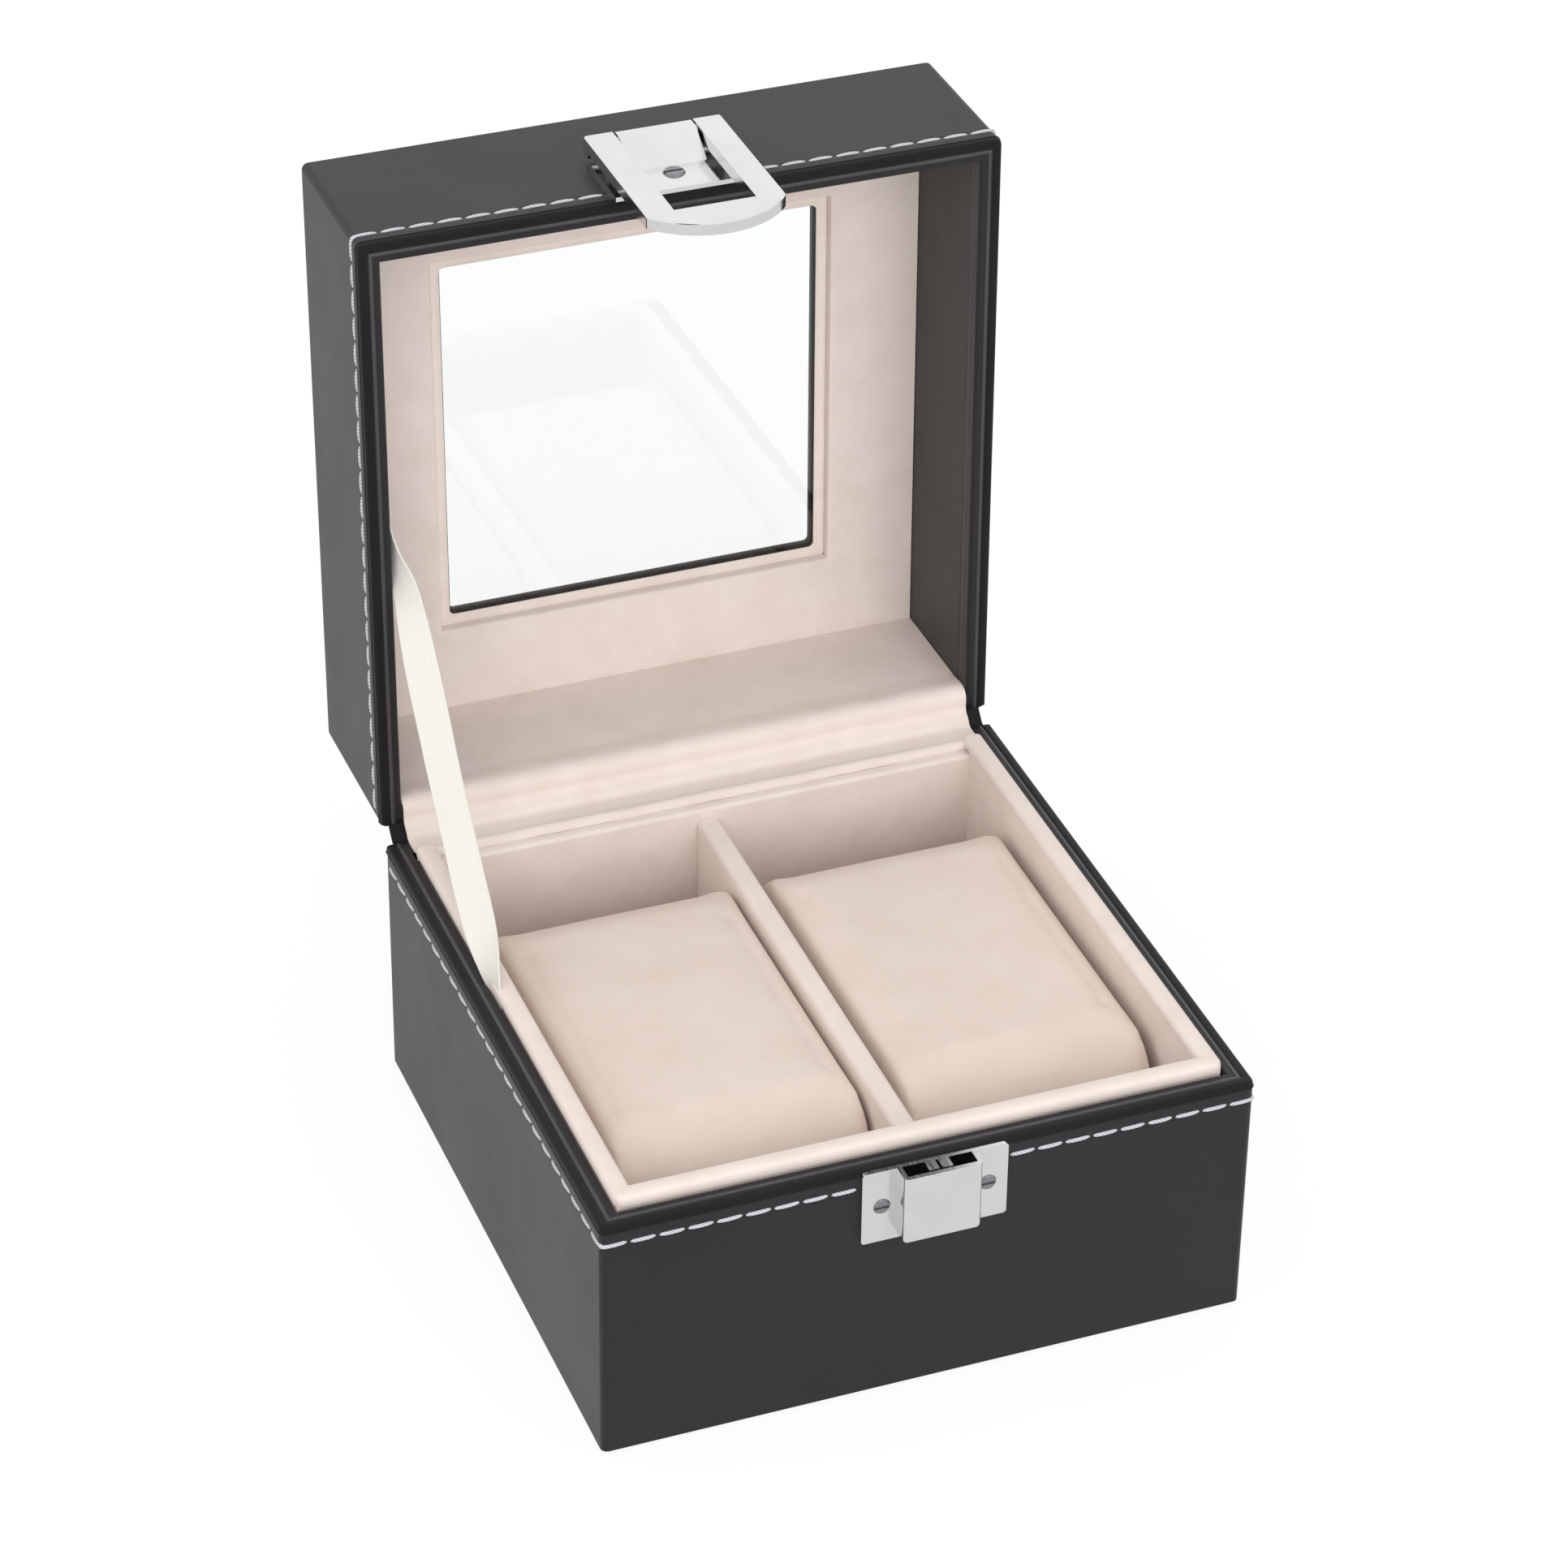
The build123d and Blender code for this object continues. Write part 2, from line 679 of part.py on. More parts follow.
# Hasp plate: flat on the lid's front, its tab rolled over the flap's bar and folded back down
# These sections have the closed lid's front face as their first axis's zero, outwards positive
hasp_section = Plane(
    origin=lid_xz.offset(front_y).from_local_coords((0, lid_rim, 0)),
    x_dir=-lid_xy.y_dir,
    z_dir=-lid_xy.x_dir,
)
cover_bend_z = hasp_bar_z - cover_straight
cover_slope = math.atan2(cover_bend_z - cover_end_z, flap_front - plate_t)
cover_in = flap_front - plate_t
cover_in_bend = cover_bend_z + plate_t * math.tan(math.pi / 4 - cover_slope / 2)
cover_in_end = cover_end_z + plate_t / math.cos(cover_slope)
plate_top = hasp_bar_z - roll_r
hasp_face = lid_xz.offset(front_y + plate_t)
hasp_seats = screw_seats(hasp_face, hasp_spots, hasp_screw_head_r, hasp_screw_shank_r, plate_t)
with BuildPart() as hasp_plate:
    with BuildSketch(hasp_section.offset(-hasp_tab_width / 2)):
        with BuildLine():
            Line((0, hasp_plate_low), (0, hasp_bar_z))
            ThreePointArc((0, hasp_bar_z), (roll_r, hasp_bar_z + roll_r), (flap_front, hasp_bar_z))
            Line((flap_front, hasp_bar_z), (flap_front, cover_bend_z))
            Line((flap_front, cover_bend_z), (plate_t, cover_end_z))
            Line((plate_t, cover_end_z), (plate_t, hasp_plate_low))
            Line((plate_t, hasp_plate_low), (0, hasp_plate_low))
        make_face()
        with BuildLine():
            Line((plate_t, cover_in_end), (plate_t, hasp_bar_z))
            ThreePointArc(
                (plate_t, hasp_bar_z),
                (roll_r, hasp_bar_z + roll_r - plate_t),
                (cover_in, hasp_bar_z),
            )
            Line((cover_in, hasp_bar_z), (cover_in, cover_in_bend))
            Line((cover_in, cover_in_bend), (plate_t, cover_in_end))
        make_face(mode=Mode.SUBTRACT)
    extrude(amount=hasp_tab_width)
    with BuildSketch(hasp_section.offset(-flap_width / 2)):
        with Locations((0, hasp_plate_low)):
            Rectangle(plate_t, plate_top - hasp_plate_low, align=(Align.MIN, Align.MIN))
    extrude(amount=flap_width)
    add(hasp_seats.part, mode=Mode.SUBTRACT)
save(hasp_plate, "hasp_plate")
save(
    slotted_screws(
        hasp_face,
        hasp_spots,
        hasp_screw_head_r,
        hasp_screw_shank_r,
        front_screw_length,
        head_rise,
    ),
    "hasp_screw",
)

# Hasp flap: a frame that hangs from its bar, goes round the catch and ends in a finger tongue
with BuildPart() as hasp_flap:
    with BuildSketch(lid_xz.offset(front_y + flap_front)) as flap_outline:
        with BuildLine():
            Polyline(
                (-flap_width / 2, lid_rim + flap_corner_z),
                (-flap_width / 2, lid_rim + hasp_bar_z + hasp_bar_r),
                (flap_width / 2, lid_rim + hasp_bar_z + hasp_bar_r),
                (flap_width / 2, lid_rim + flap_corner_z),
            )
            ThreePointArc(
                (flap_width / 2, lid_rim + flap_corner_z),
                (0, lid_rim + tongue_low_z),
                (-flap_width / 2, lid_rim + flap_corner_z),
            )
        make_face()
        fillet(flap_outline.vertices().sort_by(Axis.Y)[:2], flap_corner_r)
    extrude(amount=-flap_t)
    outer_face = hasp_flap.faces().sort_by(Axis(lid_xz.origin, lid_xz.z_dir))[-1]
    fillet(outer_face.edges().sort_by(lid_z)[:-1], flap_edge_r)
    with BuildSketch(lid_xz.offset(front_y + flap_front)):
        with Locations((0, lid_rim + slot_low_z)):
            Rectangle(
                2 * slot_half,
                hasp_bar_z + hasp_bar_r - slot_low_z,
                align=(Align.CENTER, Align.MIN),
            )
    extrude(amount=-flap_t, mode=Mode.SUBTRACT)
    leg_tops = hasp_flap.faces().sort_by(lid_z)[-2:].edges().filter_by(Axis.X)
    fillet(leg_tops, flap_top_r)
    with BuildSketch(hasp_section.offset(-flap_width / 2)):
        with Locations((roll_r, hasp_bar_z)):
            Circle(hasp_bar_r)
    extrude(amount=flap_width)
save(hasp_flap, "hasp_flap")

# Catch on the base: plate, hollow shield and the sprung post behind it
catch_low = base_height - catch_plate_drop - catch_plate_height
catch_face = Plane.XZ.offset(front_y + plate_t)
catch_seats = screw_seats(catch_face, catch_spots, catch_screw_head_r, catch_screw_shank_r, plate_t)
with BuildPart() as catch_plate:
    with BuildSketch(Plane.XZ.offset(front_y)):
        with Locations((0, catch_low + catch_plate_height / 2)):
            RectangleRounded(catch_width, catch_plate_height, catch_corner_r)
    extrude(amount=plate_t)
    add(catch_seats.part, mode=Mode.SUBTRACT)
save(catch_plate, "catch_plate")
save(
    slotted_screws(
        catch_face,
        catch_spots,
        catch_screw_head_r,
        catch_screw_shank_r,
        front_screw_length,
        head_rise,
    ),
    "catch_screws",
)

shield_top = base_height - shield_drop
shield_in = shield_width - 2 * shield_wall
with BuildPart() as catch_shield:
    with BuildSketch(catch_face):
        with Locations((0, shield_top)):
            Rectangle(shield_width, shield_height, align=(Align.CENTER, Align.MAX))
    extrude(amount=shield_depth)
    front_rim = catch_shield.faces().sort_by(Axis.Y)[0]
    fillet(front_rim.edges().filter_by(Axis.Z), shield_edge_r)
    fillet(catch_shield.faces().sort_by(Axis.Y)[0].edges().sort_by(Axis.Z)[0], shield_edge_r)
    with BuildSketch(catch_face):
        with Locations((0, shield_top)):
            Rectangle(shield_in, shield_height - shield_wall, align=(Align.CENTER, Align.MAX))
    extrude(amount=shield_depth - shield_wall, mode=Mode.SUBTRACT)
save(catch_shield, "catch_shield")

with BuildPart() as catch_post:
    with BuildSketch(catch_face):
        with GridLocations(post_bar_width + post_bar_gap, 1, 2, 1):
            with Locations((0, base_height - post_drop)):
                Rectangle(post_bar_width, post_height, align=(Align.CENTER, Align.MAX))
        with Locations((0, base_height - post_drop - post_height)):
            Rectangle(
                2 * post_bar_width + post_bar_gap,
                post_bar_width,
                align=(Align.CENTER, Align.MAX),
            )
    extrude(amount=shield_depth - shield_wall - post_fit)
save(catch_post, "catch_post")

# Ribbon stay: flat on the lid's wall, half a twist over its free length, flat in the tray's seam
# Each station: its centre, inwards from the wall, forwards from the hinge and up from the rim,
# and how far the ribbon has turned there, in degrees
ribbon_x = inner_x - ribbon_t / 2 - ribbon_fit
ribbon_stations = [
    ((0.0, -6.2, 61.2), 0),
    ((0.0, -2.8, 60.8), 0),
    ((0.0, 0.0, 58.4), 0),
    ((0.25, 2.3, 54.8), 30),
    ((0.75, 3.8, 50.8), 65),
    ((1.05, 5.8, 46.6), 90),
    ((0.95, 8.8, 42.2), 90),
    ((0.95, 13.0, 36.6), 90),
    ((0.95, 17.6, 30.0), 90),
    ((0.95, 22.6, 23.6), 90),
    ((0.95, 28.2, 18.4), 90),
    ((0.95, 32.6, 12.4), 95),
    ((0.65, 36.0, 7.6), 120),
    ((0.25, 38.6, 4.4), 155),
    ((0.0, 40.6, 1.0), 180),
    ((0.0, 42.4, -3.5), 180),
    ((0.0, 43.0, -8.0), 180),
]
ribbon_path = [
    Vector(inwards - ribbon_x, hinge_y - forwards, base_height + up)
    for (inwards, forwards, up), turn in ribbon_stations
]
with BuildPart() as stay_ribbon:
    for i, centre in enumerate(ribbon_path):
        before = ribbon_path[max(i - 1, 0)]
        after = ribbon_path[min(i + 1, len(ribbon_path) - 1)]
        along = (after - before).normalized()
        level = Vector(1, 0, 0) - along * along.X
        upright = along.cross(level).normalized()
        angle = math.radians(ribbon_stations[i][1])
        across = upright * math.cos(angle) - level.normalized() * math.sin(angle)
        with BuildSketch(Plane(origin=centre, x_dir=across, z_dir=along)):
            Rectangle(ribbon_width, ribbon_t)
    loft(ruled=True)
save(stay_ribbon, "stay_ribbon")
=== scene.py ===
import json
import math

import bmesh
import bpy
import numpy as np
from mathutils import Matrix, Vector


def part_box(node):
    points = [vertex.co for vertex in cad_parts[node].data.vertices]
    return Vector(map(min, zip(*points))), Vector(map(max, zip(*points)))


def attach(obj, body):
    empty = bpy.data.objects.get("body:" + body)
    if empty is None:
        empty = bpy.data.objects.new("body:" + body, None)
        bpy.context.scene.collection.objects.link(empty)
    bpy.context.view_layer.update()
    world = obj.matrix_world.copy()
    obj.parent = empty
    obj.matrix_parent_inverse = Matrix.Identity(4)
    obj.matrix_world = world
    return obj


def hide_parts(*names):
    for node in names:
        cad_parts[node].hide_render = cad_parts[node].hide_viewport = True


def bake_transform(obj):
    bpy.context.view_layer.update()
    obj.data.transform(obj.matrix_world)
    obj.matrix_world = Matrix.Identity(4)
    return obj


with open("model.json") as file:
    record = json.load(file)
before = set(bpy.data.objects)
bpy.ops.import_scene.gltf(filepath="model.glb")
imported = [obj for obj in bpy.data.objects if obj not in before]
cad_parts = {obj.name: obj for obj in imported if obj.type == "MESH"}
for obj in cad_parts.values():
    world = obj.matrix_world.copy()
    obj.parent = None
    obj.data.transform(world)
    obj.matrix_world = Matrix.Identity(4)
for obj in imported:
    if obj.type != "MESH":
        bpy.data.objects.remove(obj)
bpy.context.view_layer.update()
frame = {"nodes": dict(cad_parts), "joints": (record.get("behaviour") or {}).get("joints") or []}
nodes = frame["nodes"]
mm = 0.001
print("stage: frame loaded,", len(nodes), "solids")


# sRGB hex to linear
def linear(hexText):
    parts = [int(hexText[i:i + 2], 16) / 255 for i in (1, 3, 5)]
    return [p / 12.92 if p <= 0.04045 else ((p + 0.055) / 1.055) ** 2.4 for p in parts] + [1.0]


def addObject(name, data):
    made = bpy.data.objects.new(name, data)
    bpy.context.scene.collection.objects.link(made)
    return made


# one node: a socket, by name or number, gets a value or a link, and the rest are the node's own settings
def addNode(tree, kind, sockets=None, **settings):
    node = tree.nodes.new(kind)
    for name, value in settings.items():
        setattr(node, name, value)
    for key, value in (sockets or {}).items():
        if isinstance(value, bpy.types.NodeSocket):
            tree.links.new(value, node.inputs[key])
        else:
            node.inputs[key].default_value = value
    return node


def maths(tree, operation, *values):
    return addNode(tree, "ShaderNodeMath", dict(enumerate(values)), operation=operation).outputs[0]


# a value taken from one range to another
def spread(tree, value, low, high, least=0.0, most=1.0, interpolation="LINEAR"):
    sockets = {"Value": value, "From Min": low, "From Max": high, "To Min": least, "To Max": most}
    return addNode(tree, "ShaderNodeMapRange", sockets, interpolation_type=interpolation).outputs["Result"]


# soft noise with grains of a size in mm
def noise(tree, place, grain, detail, rough=0.5):
    sockets = {"Vector": place, "Scale": 1 / (grain * mm), "Detail": detail, "Roughness": rough}
    return addNode(tree, "ShaderNodeTexNoise", sockets).outputs["Fac"]


# colour between two hex tones by a 0 to 1 socket
def tint(tree, shader, share, dark, light):
    sockets = {0: share, 6: linear(dark), 7: linear(light)}
    mixed = addNode(tree, "ShaderNodeMix", sockets, data_type="RGBA").outputs[2]
    tree.links.new(mixed, shader.inputs["Base Color"])


# surface raised by a socket, by the given depth in mm where it is 1
def relief(tree, shader, source, depth, strength):
    height = maths(tree, "MULTIPLY", source, depth * mm)
    bump = addNode(tree, "ShaderNodeBump", {"Height": height, "Strength": strength, "Distance": 1.0})
    tree.links.new(bump.outputs[0], shader.inputs["Normal"])


# stage, light and camera
studio = {
    "ambient": 0.7,
    "mirrored": 1.06,
    "floorGlow": 0.9,
    "floorMirrored": 0.72,
    "floorPale": 0.78,
    "floorSeen": 0.12,
    "floorSize": 8.0,
    "floorDrop": 0.0002,
    "lampAim": (0, 0, 0.07),
}
sheetCorners = ((-1, -1), (1, -1), (1, 1), (-1, 1))


# a level for each kind of ray: plain for the camera and through glass, mirrored off gloss, and the rest
def rayLevels(tree, plain, mirrored, rest):
    rays = addNode(tree, "ShaderNodeLightPath").outputs
    seen = maths(tree, "MAXIMUM", rays["Is Camera Ray"], rays["Is Transmission Ray"])
    unseen = spread(tree, rays["Is Glossy Ray"], 0.0, 1.0, rest, mirrored)
    return spread(tree, seen, 0.0, 1.0, unseen, plain)


def studioSheet(name, corners, material):
    mesh = bpy.data.meshes.new(name)
    mesh.from_pydata(corners, [], [(0, 1, 2, 3)])
    mesh.materials.append(material)
    return addObject(name, mesh)


world = bpy.data.worlds.new("paleStudio")
bpy.context.scene.world = world
world.use_nodes = True
sky = world.node_tree
skyLevel = rayLevels(sky, 1.0, studio["mirrored"], studio["ambient"])
sky.nodes["Background"].inputs["Color"].default_value = (1, 1, 1, 1)
sky.links.new(skyLevel, sky.nodes["Background"].inputs["Strength"])

# matt white sweep that still takes the case's shadow
palePaper = bpy.data.materials.new("palePaper")
palePaper.use_nodes = True
paper = palePaper.node_tree
paper.nodes.remove(paper.nodes["Principled BSDF"])
paperTone = rayLevels(paper, studio["floorSeen"], studio["floorSeen"], studio["floorPale"])
paperGlow = rayLevels(paper, studio["floorGlow"], studio["floorMirrored"], 0.0)
paperMatt = addNode(paper, "ShaderNodeBsdfDiffuse", {"Color": paperTone})
paperLight = addNode(paper, "ShaderNodeEmission", {"Color": (1, 1, 1, 1), "Strength": paperGlow})
paperSum = addNode(paper, "ShaderNodeAddShader", {0: paperMatt.outputs[0], 1: paperLight.outputs[0]})
paper.links.new(paperSum.outputs[0], paper.nodes["Material Output"].inputs["Surface"])
floorHalf = studio["floorSize"] / 2
floorCorners = [(x * floorHalf, y * floorHalf, -studio["floorDrop"]) for x, y in sheetCorners]
studioFloor = studioSheet("studioFloor", floorCorners, palePaper)

lamps = {
    "topSoftbox": {"at": (0.15, -0.05, 1.35), "size": 1.4, "watts": 2.8, "tint": (1, 1, 1)},
    "leftSoftbox": {"at": (-1.25, 0.1, 0.95), "size": 1.25, "watts": 4.8, "tint": (1, 0.975, 0.96)},
    "frontFill": {"at": (-0.1, -1.45, 0.55), "size": 1.6, "watts": 14.5, "tint": (0.975, 0.98, 1)},
}
for lampName, lamp in lamps.items():
    light = bpy.data.lights.new(lampName, "AREA")
    light.size = lamp["size"]
    light.energy = lamp["watts"]
    light.color = lamp["tint"]
    lampObject = addObject(lampName, light)
    lampObject.location = lamp["at"]
    lampObject.visible_glossy = False  # polished metal sees the even white around it and stays unclipped
    lampObject.rotation_mode = "QUATERNION"
    beam = Vector(lamp["at"]) - Vector(studio["lampAim"])
    lampObject.rotation_quaternion = beam.to_track_quat("Z", "Y")

# a dark card beside the camera that only polished metal sees, so that its edges and screws are drawn
card = {"azimuth": -34, "elevation": 30, "away": 1.1, "wide": 0.42, "high": 0.75, "tone": 0.04}
blackCard = bpy.data.materials.new("blackCard")
blackCard.use_nodes = True
blackCard.node_tree.nodes["Principled BSDF"].inputs["Base Color"].default_value = [card["tone"]] * 3 + [1]
cardTilt = Matrix.Rotation(math.radians(-card["elevation"]), 4, "X")
cardTurn = Matrix.Rotation(math.radians(card["azimuth"]), 4, "Z") @ cardTilt
cardFlat = [Vector((x * card["wide"] / 2, -card["away"], z * card["high"] / 2)) for x, z in sheetCorners]
darkCard = studioSheet("darkCard", [tuple(cardTurn @ corner) for corner in cardFlat], blackCard)
darkCard.visible_camera = False
darkCard.visible_diffuse = False
darkCard.visible_shadow = False
darkCard.visible_transmission = False

# the view was solved from the case's corners: azimuth, elevation and roll in degrees, the rest in mm
viewpoint = {
    "azimuth": -21.171,
    "elevation": 33.220,
    "roll": 0.763,
    "aim": (0, 0, 70),
    "across": -4.860,
    "along": 22.712,
    "away": 887.65,
    "lens": 124.35,
    "sensor": 36,
    "near": 0.01,
    "centre": (-4.83, 100.36),
    "focal": 6673.5,
}
azimuth = math.radians(viewpoint["azimuth"])
elevation = math.radians(viewpoint["elevation"])
roll = math.radians(viewpoint["roll"])
ground = Vector((math.sin(azimuth), -math.cos(azimuth), 0))
back = ground * math.cos(elevation) + Vector((0, 0, math.sin(elevation)))
level = Vector((math.cos(azimuth), math.sin(azimuth), 0))
steep = back.cross(level)
right = level * math.cos(roll) + steep * math.sin(roll)
upward = steep * math.cos(roll) - level * math.sin(roll)
eye = Vector(viewpoint["aim"]) + right * viewpoint["across"] + upward * viewpoint["along"]
eye += back * viewpoint["away"]
# the photograph's centre lies off the solved optical axis, so the camera turns to it and needs no shift
centreX, centreY = viewpoint["centre"]
sight = (-back * viewpoint["focal"] - right * centreX - upward * centreY).normalized()
upward = (upward - sight * upward.dot(sight)).normalized()
right = sight.cross(upward)
cameraData = bpy.data.cameras.new("studioCamera")
cameraData.lens = viewpoint["lens"]
cameraData.sensor_width = viewpoint["sensor"]
cameraData.clip_start = viewpoint["near"]
studioCamera = addObject("studioCamera", cameraData)
studioCamera.matrix_world = Matrix([*zip(right, upward, -sight, eye * mm), (0, 0, 0, 1)])
bpy.context.scene.camera = studioCamera
bpy.context.scene.view_settings.view_transform = "Standard"
print("stage: camera and light")


# how far a solid of the frame reaches along an axis, in mm
def reachOf(name, axis):
    return round(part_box(name)[1][axis] / mm, 3)


# the shut case in mm: half its width, the rims of base and lid with the gap that the bead fills, the tray
# and the stitched lines
rimGap = 0.3
seamDrop = 3.45
caseHalf = reachOf("base_wrap", 0)
baseRim = reachOf("base_wrap", 2)
lidRim = round(baseRim + rimGap, 3)
trayHalf = reachOf("tray_front_wall", 0)
trayTop = reachOf("tray_front_wall", 2)
seam = {"baseZ": round(baseRim - seamDrop, 3), "lidZ": round(lidRim + seamDrop, 3)}
# the lid's hinge line and opening angle
lidHinge = next(joint for joint in frame["joints"] if joint["name"] == "lid_hinge")
hingeY = round(lidHinge["pos_m"][1] / mm, 3)
hingeZ = round(lidHinge["pos_m"][2] / mm, 3)
swing = math.radians(-lidHinge["range_deg"][0])
swingCos = math.cos(swing)
swingSin = math.sin(swing)


# where a point of the shut case is at rest, with the lid open and on the base
def openLid(x, y, z):
    dy = y - hingeY
    dz = z - hingeZ
    turnedY = hingeY + dy * swingCos + dz * swingSin
    turnedZ = hingeZ - dy * swingSin + dz * swingCos
    return Vector((x, turnedY, turnedZ)) * mm


def onBase(x, y, z):
    return Vector((x, y, z)) * mm


# finishes
def startMaterial(name, sockets):
    material = bpy.data.materials.new(name)
    material.use_nodes = True
    tree = material.node_tree
    shader = tree.nodes["Principled BSDF"]
    for socket, value in sockets.items():
        shader.inputs[socket].default_value = value
    return material, tree, shader, addNode(tree, "ShaderNodeTexCoord").outputs["Object"]


# 1 on a plane, falling to 0 at the given distance from it
def nearPlane(tree, place, facing, offset, reach):
    along = addNode(tree, "ShaderNodeVectorMath", {0: place, 1: facing}, operation="DOT_PRODUCT")
    apart = maths(tree, "ABSOLUTE", maths(tree, "SUBTRACT", along.outputs["Value"], offset))
    return spread(tree, apart, 0.0, reach, 1.0, 0.0, "SMOOTHSTEP")


# polyurethane leatherette, calendered with a fine pebble: near black, soft broad shine, slightly paler where
# it is stretched. The rim's fold is duller, and the bead inside it is smoother, with its paler colour a
# painted highlight
leathers = {
    "leatheretteBlack": {"deep": "#131217", "worn": "#1b191f", "roughness": (0.44, 0.52), "shine": 0.41},
    "leatheretteRim": {"deep": "#0d0c0d", "worn": "#151314", "roughness": (0.5, 0.6), "shine": 0.24},
    # the bead's pale tones are a painted highlight line along the rim, on top of its real lower roughness
    "leatheretteBeadPaintedHighlight": {"deep": "#2b292c", "worn": "#3b393d", "roughness": (0.28, 0.38), "shine": 0.7},
}
leatherGrain = {
    "pebble": 0.6,
    "pore": 0.16,
    "poreShare": 0.35,
    "cloud": 22.0,
    "depth": 0.04,
    "relief": 0.4,
    "furrowReach": 0.9,
    "furrowDepth": 0.16,
}


def leatherFinish(name, furrows=()):
    look = leathers[name]
    sockets = {"IOR": 1.5, "Specular IOR Level": look["shine"], "Sheen Weight": 0.1, "Sheen Roughness": 0.42}
    material, tree, shader, place = startMaterial(name, {**sockets, "Sheen Tint": linear("#fff4ee")})
    cells = {"Vector": place, "Scale": 1 / (leatherGrain["pebble"] * mm), "Smoothness": 0.6}
    pebbles = addNode(tree, "ShaderNodeTexVoronoi", cells, feature="SMOOTH_F1").outputs["Distance"]
    pores = noise(tree, place, leatherGrain["pore"], 2.0)
    patchy = spread(tree, noise(tree, place, leatherGrain["cloud"], 4.0, 0.6), 0.3, 0.7)
    grain = maths(tree, "MULTIPLY_ADD", pores, leatherGrain["poreShare"], pebbles)
    height = maths(tree, "MULTIPLY", grain, leatherGrain["depth"])
    for facing, offset in furrows:
        press = nearPlane(tree, place, facing, offset, leatherGrain["furrowReach"] * mm)
        height = maths(tree, "MULTIPLY_ADD", press, -leatherGrain["furrowDepth"], height)
    tint(tree, shader, patchy, look["deep"], look["worn"])
    tree.links.new(spread(tree, patchy, 0.0, 1.0, *look["roughness"]), shader.inputs["Roughness"])
    relief(tree, shader, height, 1.0, leatherGrain["relief"])
    return material


# the thread draws the covering in along both stitched lines
lidSeamOffset = (seam["lidZ"] - hingeZ + hingeY * swingSin + hingeZ * swingCos) * mm
seamPlanes = [((0, 0, 1), seam["baseZ"] * mm), ((0.0, swingSin, swingCos), lidSeamOffset)]
leatheretteBlack = leatherFinish("leatheretteBlack", seamPlanes)
leatheretteRim = leatherFinish("leatheretteRim")
leatheretteBeadPaintedHighlight = leatherFinish("leatheretteBeadPaintedHighlight")

# flocked velvet and brushed suede cloth: matt, a short nap that pales at a glance and stands in faint patches
velvets = {
    "velvetCream": {"tones": ("#e5d7ce", "#ede1d9"), "sheen": 0.2, "patch": 7.0, "nap": 0.28, "relief": 0.25},
    "suedePillow": {"tones": ("#decec2", "#e6d7cc"), "sheen": 0.15, "patch": 12.0, "nap": 0.3, "relief": 0.3},
}
nap = {"hairShare": 0.35, "from": 0.45, "to": 0.9, "depth": 0.08}


def napFinish(name):
    look = velvets[name]
    sockets = {"Roughness": 0.9, "IOR": 1.45, "Specular IOR Level": 0.2, "Sheen Weight": look["sheen"]}
    sockets.update({"Sheen Roughness": 0.6, "Sheen Tint": linear("#fff3ea")})
    material, tree, shader, place = startMaterial(name, sockets)
    patches = noise(tree, place, look["patch"], 5.0, 0.65)
    hairs = noise(tree, place, look["nap"], 3.0, 0.7)
    mixed = maths(tree, "MULTIPLY_ADD", hairs, nap["hairShare"], patches)
    tint(tree, shader, spread(tree, mixed, nap["from"], nap["to"]), *look["tones"])
    relief(tree, shader, hairs, nap["depth"], look["relief"])
    return material


velvetCream = napFinish("velvetCream")
suedePillow = napFinish("suedePillow")

# pressed steel with bright nickel plate: near mirror, faint wiping marks that only break up the reflection
plate = {"tones": ("#dbd9d9", "#eae9ea"), "roughness": (0.1, 0.2), "wipe": 0.25, "bloom": 6.0, "depth": 0.004}
nickelPlate, tree, shader, place = startMaterial("nickelPlate", {"Metallic": 1.0})
stretch = {"Vector": place, "Rotation": (0.3, 0.2, 0.5), "Scale": (1.0, 0.08, 1.0)}
wipes = noise(tree, addNode(tree, "ShaderNodeMapping", stretch).outputs[0], plate["wipe"], 3.0)
tint(tree, shader, noise(tree, place, plate["bloom"], 3.0), *plate["tones"])
tree.links.new(spread(tree, wipes, 0.3, 0.7, *plate["roughness"]), shader.inputs["Roughness"])
relief(tree, shader, wipes, plate["depth"], 0.3)

# clear float glass, 1.2 mm: colourless face on, with the faintest dust in its roughness
clearSockets = {"Base Color": linear("#fafdfc"), "Transmission Weight": 1.0, "IOR": 1.5}
glassClear, tree, shader, place = startMaterial("glassClear", clearSockets)
dust = {"patch": 9.0, "haze": 0.02}
haze = spread(tree, noise(tree, place, dust["patch"], 4.0), 0.45, 0.8, 0.0, dust["haze"])
tree.links.new(haze, shader.inputs["Roughness"])

# the wave texture repeats every 0.314 at a scale of 1
waveScale = 0.314

# woven satin ribbon: ivory, close crosswise ribs 0.45 mm apart and a soft sheen along the weave
ribbonWeave = {"tones": ("#d9d6cb", "#e7e5dd"), "rib": 0.45, "ribShare": 0.3, "yarn": 0.5, "depth": 0.04}
satinSockets = {"Roughness": 0.5, "Specular IOR Level": 0.35, "Sheen Weight": 0.15, "Sheen Roughness": 0.4}
satinIvory, tree, shader, place = startMaterial("satinIvory", satinSockets)
onCloth = addNode(tree, "ShaderNodeUVMap", uv_map="weave").outputs[0]
ribScale = waveScale / (ribbonWeave["rib"] * mm)
ribWaves = {"Vector": onCloth, "Scale": ribScale, "Distortion": 0.4, "Detail": 2.0}
ribs = addNode(tree, "ShaderNodeTexWave", ribWaves, bands_direction="Y").outputs["Fac"]
yarns = noise(tree, onCloth, ribbonWeave["yarn"], 3.0)
woven = maths(tree, "MULTIPLY_ADD", ribs, ribbonWeave["ribShare"], yarns)
tint(tree, shader, woven, *ribbonWeave["tones"])
relief(tree, shader, ribs, ribbonWeave["depth"], 0.4)

